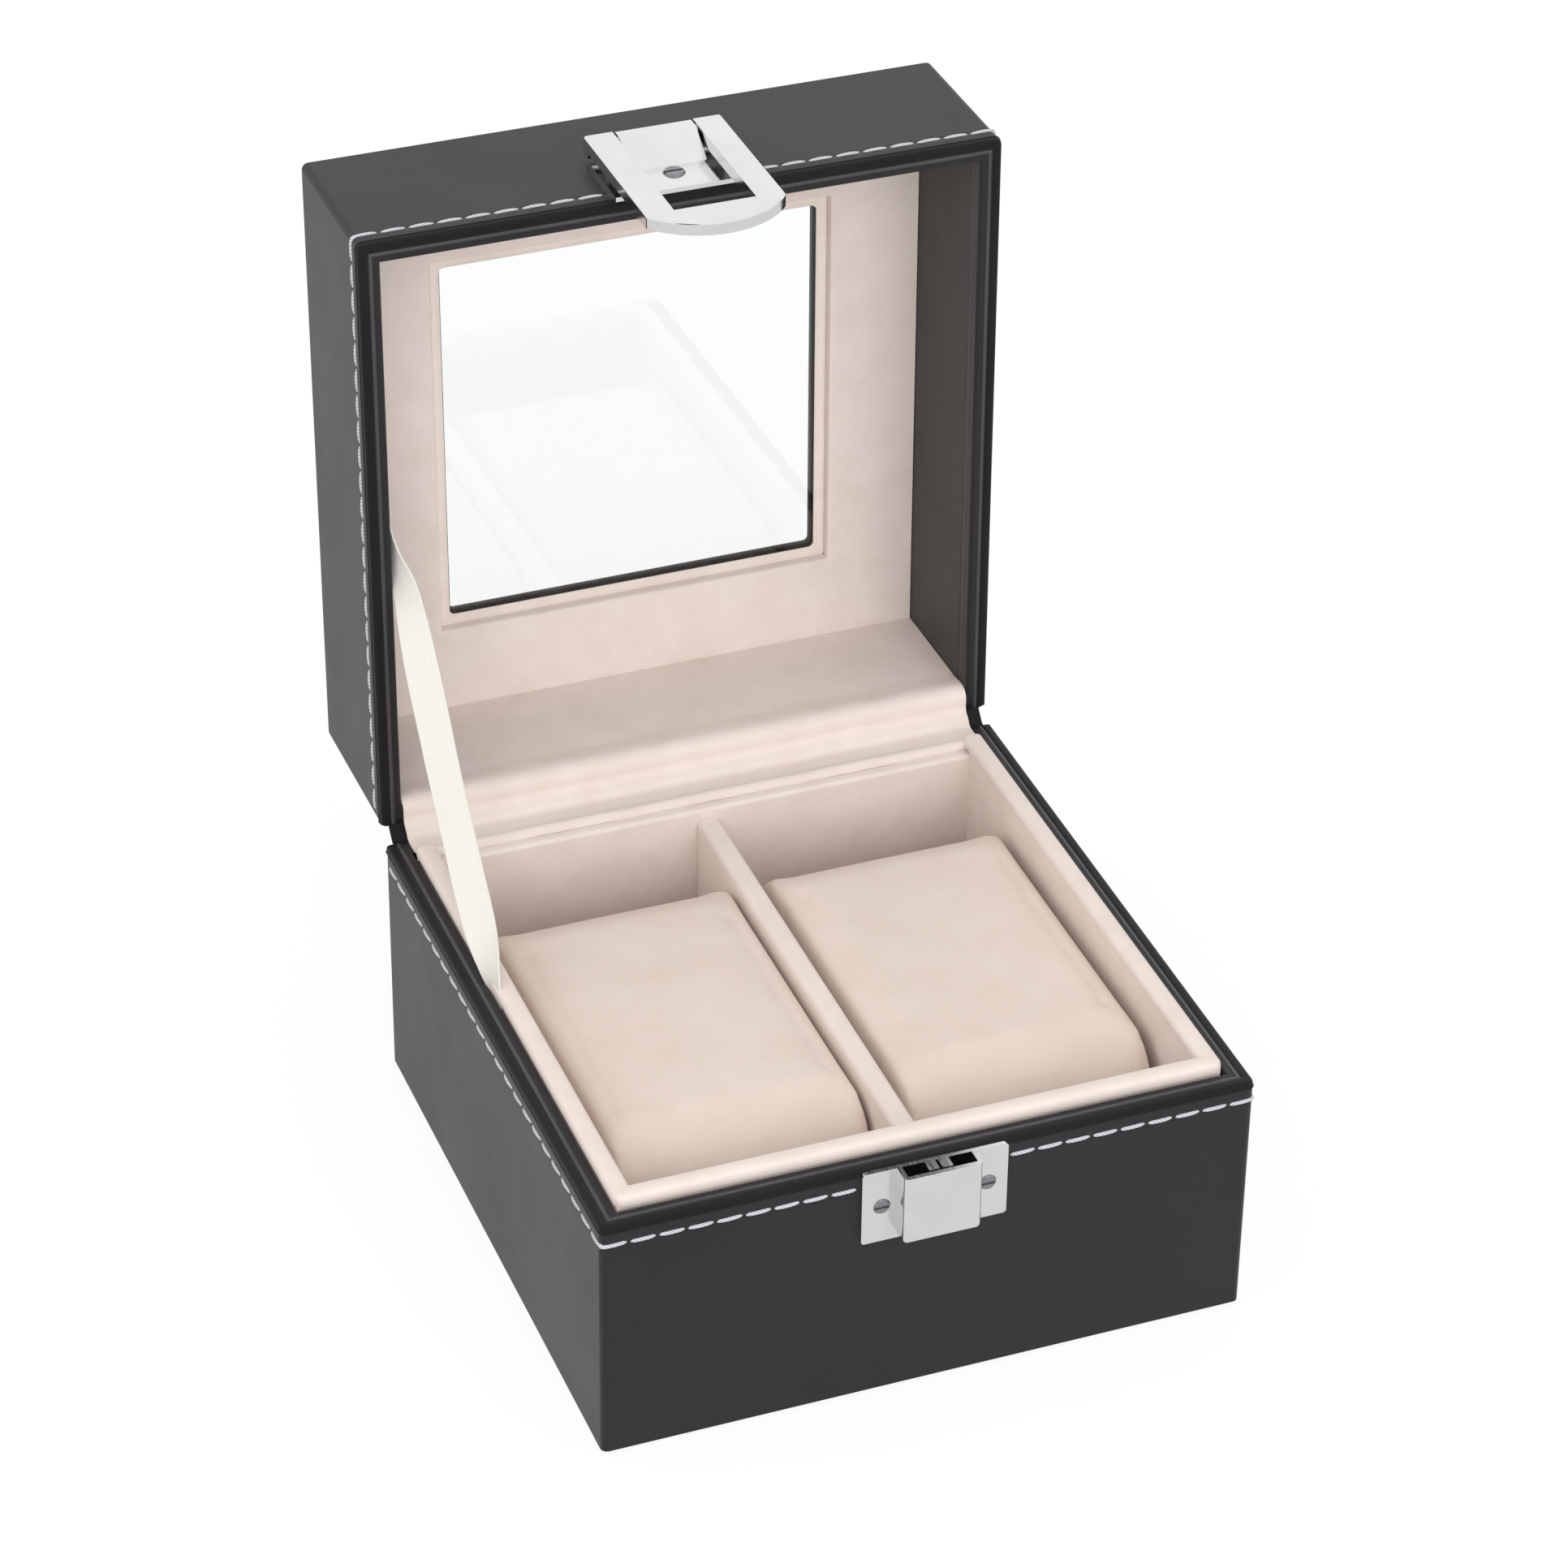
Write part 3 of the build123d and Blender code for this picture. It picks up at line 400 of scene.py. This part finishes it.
# bonded polyester thread: pale grey with the twist of its plies as a fine slant
thread = {"tones": ("#b4b3b8", "#dcdbe0"), "ply": 0.35, "depth": 0.04}
threadSockets = {"Roughness": 0.6, "Sheen Weight": 0.2, "Specular IOR Level": 0.4}
threadPale, tree, shader, place = startMaterial("threadPale", threadSockets)
plyWaves = {"Vector": place, "Scale": waveScale / (thread["ply"] * mm), "Distortion": 0.6}
plies = addNode(tree, "ShaderNodeTexWave", plyWaves, bands_direction="DIAGONAL").outputs["Fac"]
tint(tree, shader, plies, *thread["tones"])
relief(tree, shader, plies, thread["depth"], 0.4)

# plain finishes whose flecks set both tone and relief
fleckedLooks = {
    # zinc plated screws: a duller, darker metal than the fittings, so that their heads stand out on them
    "screwZinc": {
        "tones": ("#77757a", "#a9a7aa"),
        "flecks": (0.6, 4.0, 0.5),
        "relief": (0.02, 0.3),
        "sockets": {"Metallic": 1.0, "Roughness": 0.3},
    },
    # raw fibreboard inside the covering: brown, flecked with fibre and dusty
    "fibreboard": {
        "tones": ("#7a5c3c", "#a98a63"),
        "flecks": (0.7, 5.0, 0.7),
        "relief": (0.1, 0.4),
        "sockets": {"Roughness": 0.92, "Specular IOR Level": 0.2},
    },
    # needled black felt under the case: matt, with loose grey fibres
    "feltBlack": {
        "tones": ("#0d0c0d", "#2b292b"),
        "flecks": (0.4, 6.0, 0.75),
        "relief": (0.15, 0.5),
        "sockets": {
            "Roughness": 0.97,
            "Specular IOR Level": 0.1,
            "Sheen Weight": 0.3,
            "Sheen Roughness": 0.5,
        },
    },
}


def fleckedFinish(name):
    look = fleckedLooks[name]
    material, tree, shader, place = startMaterial(name, look["sockets"])
    flecks = noise(tree, place, *look["flecks"])
    tint(tree, shader, flecks, *look["tones"])
    relief(tree, shader, flecks, *look["relief"])
    return material


screwZinc = fleckedFinish("screwZinc")
fibreboard = fleckedFinish("fibreboard")
feltBlack = fleckedFinish("feltBlack")

slotFinish = {
    "leatherette": leatheretteBlack,
    "board": fibreboard,
    "velvet": velvetCream,
    "pillow_velvet": suedePillow,
    "glass": glassClear,
    "nickel": nickelPlate,
    "ribbon": satinIvory,
    "felt": feltBlack,
}
for solid in nodes.values():
    for materialSlot in solid.material_slots:
        materialSlot.material = slotFinish[materialSlot.material.name.split(".")[0]]
for screws in ("hasp_screw", "catch_screws", "hinge_base_screws", "hinge_lid_screws"):
    nodes[screws].material_slots[0].material = screwZinc
print("stage: finishes on", len(nodes), "solids")


# mesh making: quads between rows of points of one length. loop closes each row, ring joins the last row
# to the first, or else both ends get flat caps
def skinFaces(rows, loop, ring):
    count = len(rows[0])
    faces = []
    for row in range(len(rows) if ring else len(rows) - 1):
        here = row * count
        after = (row + 1) % len(rows) * count
        for spot in range(count if loop else count - 1):
            beside = (spot + 1) % count
            faces.append((here + spot, here + beside, after + beside, after + spot))
    if loop and not ring:
        last = (len(rows) - 1) * count
        faces.append(tuple(range(count)))
        faces.append(tuple(last + spot for spot in range(count)))
    return faces


def makePiece(name, rows, material, smoothAngle=50, loop=True, ring=False):
    mesh = bpy.data.meshes.new(name)
    mesh.from_pydata([tuple(point) for row in rows for point in row], [], skinFaces(rows, loop, ring))
    work = bmesh.new()
    work.from_mesh(mesh)
    bmesh.ops.recalc_face_normals(work, faces=work.faces)
    work.to_mesh(mesh)
    work.free()
    mesh.polygons.foreach_set("use_smooth", [True] * len(mesh.polygons))
    mesh.set_sharp_from_angle(angle=math.radians(smoothAngle))
    mesh.materials.append(material)
    return addObject(name, mesh)


# smooth line through the stations, Catmull-Rom, with steps points for each span
def throughStations(stations, steps):
    values = np.array(stations, float)
    padded = np.vstack([2 * values[0] - values[1], values, 2 * values[-1] - values[-2]])
    line = []
    for first in range(len(padded) - 3):
        before, start, end, after = padded[first:first + 4]
        linearPart = end - before
        squarePart = 2 * before - 5 * start + 4 * end - after
        cubicPart = 3 * start - before - 3 * end + after
        for step in range(steps):
            t = step / steps
            line.append(0.5 * (2 * start + linearPart * t + squarePart * t * t + cubicPart * t ** 3))
    line.append(values[-1])
    return line


# a line and the same line a thickness to its right, as one closed section
def thickLine(stations, steps, thick):
    line = np.array(throughStations(stations, steps))
    slope = np.gradient(line, axis=0)
    slope /= np.linalg.norm(slope, axis=1)[:, None]
    shifted = line + np.stack([slope[:, 1], -slope[:, 0]], axis=1) * thick
    return line, np.vstack([line, shifted[::-1]])


# rectangle with rounded corners, as a closed row of points
def roundedLoop(halfWide, halfHigh, radius, steps):
    loop = []
    for quarter, (signX, signY) in enumerate(((1, 1), (-1, 1), (-1, -1), (1, -1))):
        for angle in np.linspace(0, math.pi / 2, steps):
            turn = angle + quarter * math.pi / 2
            x = signX * (halfWide - radius) + radius * math.cos(turn)
            loop.append((x, signY * (halfHigh - radius) + radius * math.sin(turn)))
    return loop


# left, front and right side of a square, at a distance out from its faces, with rounded front corners
rimPath = {"straightSteps": 12, "cornerSteps": 7, "leastRadius": 0.12}


def threeSides(half, corner, rearEnd, out):
    edge = half + out
    radius = max(corner + out, rimPath["leastRadius"])
    centre = edge - radius
    along = rimPath["straightSteps"]
    turns = np.linspace(0, math.pi / 2, rimPath["cornerSteps"])
    bend = [(radius * math.cos(turn), radius * math.sin(turn)) for turn in turns]
    route = [(-edge, y) for y in np.linspace(rearEnd, -centre, along)[:-1]]
    route += [(-centre - dx, -centre - dy) for dx, dy in bend]
    route += [(x, -edge) for x in np.linspace(-centre, centre, along)[1:-1]]
    route += [(centre + dy, -centre - dx) for dx, dy in bend]
    route += [(edge, y) for y in np.linspace(-centre, rearEnd, along)[1:]]
    return route


# carries a section, given as outwards and up, along the three sides
def sweepRim(shape, section, place, level, sense):
    routes = [threeSides(shape["half"], shape["corner"], shape["rearEnd"], out) for out, _ in section]
    heights = [level + sense * rise for _, rise in section]
    spots = range(len(routes[0]))
    return [[place(*route[spot], height) for route, height in zip(routes, heights)] for spot in spots]


# raised rim: the covering is folded double along the outer edge of both rims
rimFold = {"half": caseHalf, "corner": 1.2, "rearEnd": caseHalf - 0.6, "bead": range(0, 7)}
# outwards from the wall's face and up from the rim, over the edge and back inside the wrap
rimSection = [(-2.45, -0.1), (-2.42, 0.04), (-2.28, 0.12), (-2.1, 0.14), (-1.93, 0.11), (-1.84, 0.02)]
rimSection += [(-1.8, -0.03), (-1.66, -0.02), (-1.55, 0.07), (-1.4, 0.12), (-1.0, 0.13), (-0.6, 0.11)]
rimSection += [(-0.36, 0.06), (-0.16, -0.06), (-0.05, -0.24), (0.0, -0.5), (0.02, -0.82), (0.12, -0.92)]
rimSection += [(0.18, -1.04), (0.18, -1.16), (0.1, -1.32), (-0.05, -1.42), (-0.4, -1.3), (-0.5, -0.7)]
rimSection += [(-0.9, -0.35), (-2.2, -0.35)]


def makeRimFold(name, body, place, level, sense):
    piece = makePiece(name, sweepRim(rimFold, rimSection, place, level, sense), leatheretteRim, 60)
    piece.data.materials.append(leatheretteBeadPaintedHighlight)
    # the bead along the inner edge is smoother, and its paler colour is a painted highlight line
    for face in piece.data.polygons:
        if {vertex % len(rimSection) for vertex in face.vertices} <= set(rimFold["bead"]):
            face.material_index = 1
    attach(piece, body)


makeRimFold("base_rim_fold", "base", onBase, baseRim, 1)
makeRimFold("lid_rim_fold", "lid", openLid, lidRim, -1)
print("stage: rim folds")

# rolled lip of the tray: the velvet is drawn round a soft edge, wider than the wall under it
trayLip = {"half": trayHalf, "corner": 1.2, "rearEnd": 50.4}
# outwards from the tray's outer face and up from its top
lipSection = [(-2.9, -1.6), (-2.97, -1.1), (-2.97, -0.7), (-2.86, -0.33), (-2.55, -0.02), (-2.05, 0.14)]
lipSection += [(-1.25, 0.19), (-0.5, 0.14), (0.0, -0.03), (0.3, -0.36), (0.42, -0.85), (0.43, -1.5)]
lipSection += [(0.3, -1.85), (-0.1, -1.7), (-0.6, -1.2), (-2.2, -1.2)]
lipRows = sweepRim(trayLip, lipSection, onBase, trayTop, 1)
lipRoll = makePiece("tray_lip_roll", lipRows, velvetCream, 60)
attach(lipRoll, "base")

windowSteps = 7


# a frame round the window, from a section of half widths, heights and corner radii
def windowFrame(name, section, material, smoothAngle):
    loops = [(roundedLoop(half, half, radius, windowSteps), height) for half, height, radius in section]
    rows = [[openLid(*loop[spot], height) for loop, height in loops] for spot in range(len(loops[0][0]))]
    return makePiece(name, rows, material, smoothAngle, ring=True)


# velvet paper under the glass pane's rim, seen as a paler band inside the mat
paperBand = {
    "outer": 35.95,
    "inner": 33.95,
    "outerCorner": 0.4,
    "innerCorner": 1.0,
    "face": 74.6,
    "glass": 74.78,
}
# half width, height and corner radius of each point, with both edges eased by hundredths of a mm
paperSection = [
    (paperBand["outer"], paperBand["glass"], paperBand["outerCorner"]),
    (paperBand["outer"], paperBand["face"] + 0.04, paperBand["outerCorner"]),
    (paperBand["outer"] - 0.06, paperBand["face"], paperBand["outerCorner"]),
    (paperBand["inner"] + 0.08, paperBand["face"], paperBand["innerCorner"] + 0.08),
    (paperBand["inner"] + 0.02, paperBand["face"] + 0.05, paperBand["innerCorner"] + 0.02),
    (paperBand["inner"], paperBand["glass"], paperBand["innerCorner"]),
]
windowPaper = windowFrame("window_paper_rim", paperSection, velvetCream, 40)
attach(windowPaper, "lid")

# the covering is turned round the edge of the opening, behind the pane
turned = {"outer": 34.56, "inner": 33.55, "inside": 76.03, "outside": 77.3, "corner": 0.9, "round": 0.15}
eased = turned["inner"] + turned["round"]
turnedPoints = [
    (turned["outer"], turned["outside"]),
    (turned["outer"], turned["inside"]),
    (eased, turned["inside"]),
    (turned["inner"], turned["inside"] + turned["round"]),
    (turned["inner"], turned["outside"] - turned["round"]),
    (eased, turned["outside"]),
]
turnedSection = [(half, height, half - turned["inner"] + turned["corner"]) for half, height in turnedPoints]
windowEdge = windowFrame("window_turned_edge", turnedSection, leatheretteRim, 60)
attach(windowEdge, "lid")
print("stage: tray lip and window rim")

# lockstitching along the rims, left out behind the catch and the hasp
stitching = {
    "pitch": 4.8,
    "long": 4.1,
    "thick": 0.78,
    "crest": 0.08,
    "sink": 0.42,
    "slant": 2.0,
    "leastSlant": 0.3,
    "seed": 7,
    "corner": 53.75,
    "onFront": 9,
    "onSide": 23,
    "spare": 0.01,
    "arcSteps": 8,
    "roundSteps": 6,
}


def stitchTree():
    tree = bpy.data.node_groups.new("lockstitch", "GeometryNodeTree")
    tree.interface.new_socket("Path", in_out="INPUT", socket_type="NodeSocketGeometry")
    for label in ("Pitch", "Half length", "Thread radius", "Crest", "Sink", "Slant"):
        tree.interface.new_socket(label, in_out="INPUT", socket_type="NodeSocketFloat")
    tree.interface.new_socket("Up", in_out="INPUT", socket_type="NodeSocketVector")
    tree.interface.new_socket("Thread", in_out="INPUT", socket_type="NodeSocketMaterial")
    tree.interface.new_socket("Stitches", in_out="OUTPUT", socket_type="NodeSocketGeometry")
    given = addNode(tree, "NodeGroupInput").outputs
    front = given["Half length"]
    rear = maths(tree, "MULTIPLY", front, -1.0)
    under = maths(tree, "MULTIPLY", given["Sink"], -1.0)
    # the four points of the bowed stitch: both ends lie under the surface
    ends = {"Start": (rear, under), "Start Handle": (rear, given["Crest"])}
    ends.update({"End Handle": (front, given["Crest"]), "End": (front, under)})
    bend = {"Resolution": stitching["arcSteps"]}
    for name, (x, z) in ends.items():
        bend[name] = addNode(tree, "ShaderNodeCombineXYZ", {"X": x, "Z": z}).outputs[0]
    arc = addNode(tree, "GeometryNodeCurvePrimitiveBezierSegment", bend, mode="POSITION").outputs[0]
    ringSize = {"Resolution": stitching["roundSteps"], "Radius": given["Thread radius"]}
    ring = addNode(tree, "GeometryNodeCurvePrimitiveCircle", ringSize).outputs[0]
    tube = {"Curve": arc, "Profile Curve": ring, "Fill Caps": True}
    stitch = addNode(tree, "GeometryNodeCurveToMesh", tube).outputs[0]
    steps = {"Curve": given["Path"], "Length": given["Pitch"]}
    spots = addNode(tree, "GeometryNodeCurveToPoints", steps, mode="LENGTH").outputs
    cross = {0: spots["Tangent"], 1: given["Up"]}
    outward = addNode(tree, "ShaderNodeVectorMath", cross, operation="CROSS_PRODUCT").outputs[0]
    axes = {0: spots["Tangent"], 1: outward}
    aimed = addNode(tree, "FunctionNodeAxesToRotation", axes, primary_axis="X", secondary_axis="Z").outputs[0]
    leastSlant = maths(tree, "MULTIPLY", given["Slant"], stitching["leastSlant"])
    draw = {2: leastSlant, 3: given["Slant"], "Seed": stitching["seed"]}
    lean = addNode(tree, "FunctionNodeRandomValue", draw, data_type="FLOAT").outputs[1]
    leanAngles = addNode(tree, "ShaderNodeCombineXYZ", {"Z": lean}).outputs[0]
    leanTurn = addNode(tree, "FunctionNodeEulerToRotation", {0: leanAngles}).outputs[0]
    slanted = addNode(tree, "FunctionNodeRotateRotation", {0: aimed, 1: leanTurn}, rotation_space="LOCAL")
    placed = {"Points": spots["Points"], "Instance": stitch, "Rotation": slanted.outputs[0]}
    row = addNode(tree, "GeometryNodeInstanceOnPoints", placed).outputs[0]
    real = addNode(tree, "GeometryNodeRealizeInstances", {0: row}).outputs[0]
    smooth = addNode(tree, "GeometryNodeSetShadeSmooth", {"Geometry": real, "Shade Smooth": True}).outputs[0]
    dressed = {"Geometry": smooth, "Material": given["Thread"]}
    addNode(tree, "NodeGroupOutput", {0: addNode(tree, "GeometryNodeSetMaterial", dressed).outputs[0]})
    return tree


lockstitch = stitchTree()
sewnCorner = stitching["corner"]
# a run of stitches is a trace longer than its pitches, so that the last one is not lost
sewnInner = sewnCorner - (stitching["onFront"] - 1 + stitching["spare"]) * stitching["pitch"]
sewnRear = (stitching["onSide"] - 1 + stitching["spare"]) * stitching["pitch"] - sewnCorner
stitchSides = [
    [(-caseHalf, sewnRear), (-caseHalf, -sewnCorner)],
    [(-sewnCorner, -caseHalf), (-sewnInner, -caseHalf)],
    [(sewnInner, -caseHalf), (sewnCorner, -caseHalf)],
    [(caseHalf, -sewnCorner), (caseHalf, sewnRear)],
]


def sewRim(name, body, place, height):
    curve = bpy.data.curves.new(name + "_path", "CURVE")
    curve.dimensions = "3D"
    for side in stitchSides:
        spline = curve.splines.new("POLY")
        spline.points.add(1)
        for point, (x, y) in zip(spline.points, side):
            point.co = [*place(x, y, height), 1]
    sewn = addObject(name + "_path", curve)
    needle = sewn.modifiers.new("lockstitch", "NODES")
    needle.node_group = lockstitch
    given = {
        "Pitch": stitching["pitch"] * mm,
        "Half length": stitching["long"] / 2 * mm,
        "Thread radius": stitching["thick"] / 2 * mm,
        "Crest": stitching["crest"] * mm,
        "Sink": stitching["sink"] * mm,
        "Slant": math.radians(stitching["slant"]),
        "Up": tuple((place(0, 0, 1) - place(0, 0, 0)) / mm),
        "Thread": threadPale,
    }
    for item in lockstitch.interface.items_tree:
        if item.in_out == "INPUT" and item.name in given:
            needle[item.identifier] = given[item.name]
    bpy.context.view_layer.update()
    evaluated = sewn.evaluated_get(bpy.context.evaluated_depsgraph_get())
    mesh = bpy.data.meshes.new_from_object(evaluated)
    bpy.data.objects.remove(sewn)
    piece = addObject(name, mesh)
    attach(piece, body)
    print("stage:", name, len(mesh.polygons), "faces")


sewRim("base_stitches", "base", onBase, seam["baseZ"])
sewRim("lid_stitches", "lid", openLid, seam["lidZ"])

# pillows: a cloth sleeve round a foam block, blown up by a cloth simulation between its two side seams
pillow = {
    "corner": 11.0,
    "cornerSteps": 13,
    "rows": 21,
    "shrink": 0.3,
    "crown": 0.35,
    "voxel": 1.3,
    "grow": 10.0,
    "pressure": 6.0,
    "quality": 5,
    "stiffness": 2.0,
    "frames": 20,
    "cap": 0.75,
    "seamReach": 7.0,
    "endReach": 0.4,
    "endShare": 0.35,
    "grooveIn": 1.1,
    "grooveWide": 0.55,
    "grooveDeep": 0.22,
}


# rows of the plain block, from one end to the other, with its centre and half size
def pillowBlock(low, high):
    centre = (low + high) / 2
    size = (high - low) / 2 - Vector((pillow["shrink"],) * 3) * mm
    ring = roundedLoop(size.y, size.z, pillow["corner"] * mm, pillow["cornerSteps"])
    rows = []
    for share in np.linspace(-1, 1, pillow["rows"]):
        swell = pillow["crown"] * mm * (1 - share * share)
        wider = 1 + swell / size.y
        taller = 1 + swell / size.z
        rows.append([centre + Vector((share * size.x, y * wider, z * taller)) for y, z in ring])
    return rows, centre, size


# the cloth is blown up at ten times its size, where the solver is steadier
def blowUp(piece):
    cloth = piece.modifiers.new("blown", "CLOTH")
    cloth.settings.use_pressure = True
    cloth.settings.uniform_pressure_force = pillow["pressure"]
    cloth.settings.effector_weights.gravity = 0
    cloth.settings.quality = pillow["quality"]
    cloth.settings.bending_stiffness = pillow["stiffness"]
    cloth.point_cache.frame_start = 1
    cloth.point_cache.frame_end = pillow["frames"]
    for step in range(1, pillow["frames"] + 1):
        bpy.context.scene.frame_set(step)
    blown = piece.evaluated_get(bpy.context.evaluated_depsgraph_get())
    points = np.array([v.co for v in blown.data.vertices]) / pillow["grow"]
    piece.modifiers.remove(cloth)
    bpy.context.scene.frame_set(1)
    return points


def makePillow(name, body):
    low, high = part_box(name)
    rows, centre, size = pillowBlock(low, high)
    grown = [[(point - centre) * pillow["grow"] for point in row] for row in rows]
    piece = makePiece(body + "_cushion", grown, suedePillow, 180)
    bpy.context.view_layer.objects.active = piece
    remesh = piece.modifiers.new("even", "REMESH")
    remesh.mode = "VOXEL"
    remesh.voxel_size = pillow["voxel"] * mm * pillow["grow"]
    bpy.ops.object.modifier_apply(modifier=remesh.name)
    before = np.array([v.co for v in piece.data.vertices]) / pillow["grow"]
    after = blowUp(piece)
    move = after - before
    reach = np.linalg.norm(move, axis=1)
    fromSeam = size.x - np.abs(before[:, 0])
    ease = np.clip(fromSeam / (pillow["seamReach"] * mm), 0, 1)
    onEnd = fromSeam < pillow["endReach"] * mm
    limit = pillow["cap"] * mm * np.where(onEnd, pillow["endShare"], ease * ease * (3 - 2 * ease))
    move *= np.minimum(1, limit / np.maximum(reach, 1e-9))[:, None]
    settled = before + move + np.array(centre)
    piece.data.vertices.foreach_set("co", settled.astype(np.float32).ravel())
    smoother = piece.modifiers.new("fine", "SUBSURF")
    smoother.levels = 1
    smoother.render_levels = 1
    bpy.ops.object.modifier_apply(modifier=smoother.name)
    # the side seams draw the sleeve in along a narrow line near both ends
    points = np.array([v.co for v in piece.data.vertices])
    across = points - np.array(centre)
    seamLine = (np.abs(across[:, 0]) - (size.x - pillow["grooveIn"] * mm)) / (pillow["grooveWide"] * mm)
    inward = pillow["grooveDeep"] * mm * np.exp(-seamLine * seamLine)
    radial = across * np.array([0, 1, 1])
    radial /= np.maximum(np.linalg.norm(radial, axis=1), 1e-9)[:, None]
    points -= radial * inward[:, None]
    piece.data.vertices.foreach_set("co", points.astype(np.float32).ravel())
    piece.data.polygons.foreach_set("use_smooth", [True] * len(piece.data.polygons))
    piece.data.update()
    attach(piece, body)
    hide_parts(name)
    farthest = round(float(np.linalg.norm(move, axis=1).max() / mm), 2)
    print("stage:", name, len(piece.data.polygons), "faces, moved at most", farthest, "mm")


makePillow("left_pillow", "left_pillow")
makePillow("right_pillow", "right_pillow")

# velvet strip that covers the hinges: tucked over the tray's rear wall, down into the crease and up over
# the lid's rim. Its drift is a sum of waves: share, turns in a mm and phase
lining = {
    "half": 52.05,
    "thick": 0.4,
    "steps": 6,
    "rows": 81,
    "drift": 0.035,
    "endReach": 1.2,
    "endSink": 0.15,
}
liningWaves = ((1.0, 0.23, 1.1), (0.6, 0.61, 0.4))
# depth and height of its upper face, from the tray to the lid's rear wall
liningLine = [(50.0, 45.6), (50.08, 46.2), (50.45, 46.75), (51.05, 46.95), (51.65, 46.75), (52.3, 46.5)]
liningLine += [(53.3, 46.42), (54.4, 46.4), (55.2, 46.45), (55.75, 46.8), (56.15, 47.4), (56.7, 47.95)]
liningLine += [(57.3, 48.5), (57.6, 49.4), (57.55, 50.4), (57.65, 51.4), (58.2, 52.3), (59.3, 52.85)]
liningLine += [(60.8, 52.85), (62.4, 52.55), (63.8, 52.36)]
upper, liningLoop = thickLine(liningLine, lining["steps"], lining["thick"])
liningRows = []
for x in np.linspace(-lining["half"], lining["half"], lining["rows"]):
    drift = lining["drift"] * sum(share * math.sin(x * rate + phase) for share, rate, phase in liningWaves)
    ends = 1 - min(1, (lining["half"] - abs(x)) / lining["endReach"])
    lift = drift - lining["endSink"] * ends * ends
    liningRows.append([Vector((x, y, z + lift)) * mm for y, z in liningLoop])
hingeCover = makePiece("hinge_cover", liningRows, velvetCream, 70)
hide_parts("hinge_lining")
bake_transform(hingeCover)

# leather joint strip under the velvet: its two bare ends bridge the gap between the side walls
joint = {"from": 51.8, "to": 54.7, "thick": 0.22, "steps": 4, "rows": 5}
jointLine = [(54.9, 46.03), (55.9, 46.06), (56.35, 46.35), (56.85, 46.9)]
jointLine += [(57.3, 47.4), (57.75, 47.9), (57.96, 48.4), (57.96, 49.2)]
_, jointLoop = thickLine(jointLine, joint["steps"], joint["thick"])
for side, sign in (("left", -1), ("right", 1)):
    tabSpots = np.linspace(joint["from"], joint["to"], joint["rows"])
    tabRows = [[Vector((sign * x, y, z)) * mm for y, z in jointLoop] for x in tabSpots]
    tab = makePiece(side + "_joint_tab", tabRows, leatheretteRim, 60)
    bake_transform(tab)

# stay ribbon: flat on the tray's side wall, half a turn on its way, flat on the lid's side wall
ribbon = {"wide": 5.7, "thick": 0.3, "steps": 10, "left": -51.95}
# from the lid to the base: inwards from the side wall, y, z and the turn of its flat side in degrees
ribbonStations = [
    (0, 64.6, 108.4, 180),
    (0, 63.2, 105.4, 180),
    (0.2, 61.8, 102.4, 174),
    (0.6, 60.0, 99.4, 165),
    (1.2, 57.2, 96.2, 150),
    (1.1, 53.3, 92.4, 134),
    (1.0, 48.4, 86.3, 114),
    (0.95, 42.3, 79.0, 99),
    (0.95, 36.7, 71.8, 92),
    (0.95, 30.6, 65.0, 92),
    (0.9, 24.6, 58.4, 100),
    (0.6, 17.6, 53.0, 122),
    (0.3, 12.6, 50.0, 150),
    (0.05, 9.2, 47.2, 172),
    (0, 7.8, 43.6, 180),
    (0, 7.2, 39.0, 180),
]
strap = np.array(throughStations(ribbonStations, ribbon["steps"]))
centres = np.stack([ribbon["left"] + strap[:, 0], strap[:, 1], strap[:, 2]], axis=1)
heading = np.gradient(centres, axis=0)
# round the section from selvedge to selvedge: share of the half width, share of the half thickness
ribbonSection = [(-1.0, 0.0), (-0.985, 0.8), (-0.93, 1.15), (-0.8, 0.85), (-0.4, 0.8), (0.0, 0.8)]
ribbonSection += [(0.4, 0.8), (0.8, 0.85), (0.93, 1.15), (0.985, 0.8), (1.0, 0.0)]
ribbonSection += [(u, -v) for u, v in ribbonSection[-2:0:-1]]
ribbonOffsets = [(u * ribbon["wide"] / 2, v * ribbon["thick"] / 2) for u, v in ribbonSection]
ribbonRows = []
travelled = [0.0]
for index, centre in enumerate(centres):
    along = Vector(heading[index]).normalized()
    flatwise = (Vector((1, 0, 0)) - along * along.x).normalized()
    upright = along.cross(flatwise)
    turn = math.radians(strap[index][3])
    across = upright * math.cos(turn) - flatwise * math.sin(turn)
    outwards = across.cross(along)
    ribbonRows.append([(Vector(centre) + across * u + outwards * v) * mm for u, v in ribbonOffsets])
    if index:
        travelled.append(travelled[-1] + float(np.linalg.norm(centre - centres[index - 1])))
stayRibbon = makePiece("stay_strap", ribbonRows, satinIvory, 80)
weave = stayRibbon.data.uv_layers.new(name="weave")
for corner in stayRibbon.data.loops:
    row, column = divmod(corner.vertex_index, len(ribbonSection))
    weave.data[corner.index].uv = (ribbonOffsets[column][0] * mm, travelled[row] * mm)
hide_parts("stay_ribbon")
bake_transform(stayRibbon)
print("stage: stay ribbon,", round(travelled[-1], 1), "mm long")
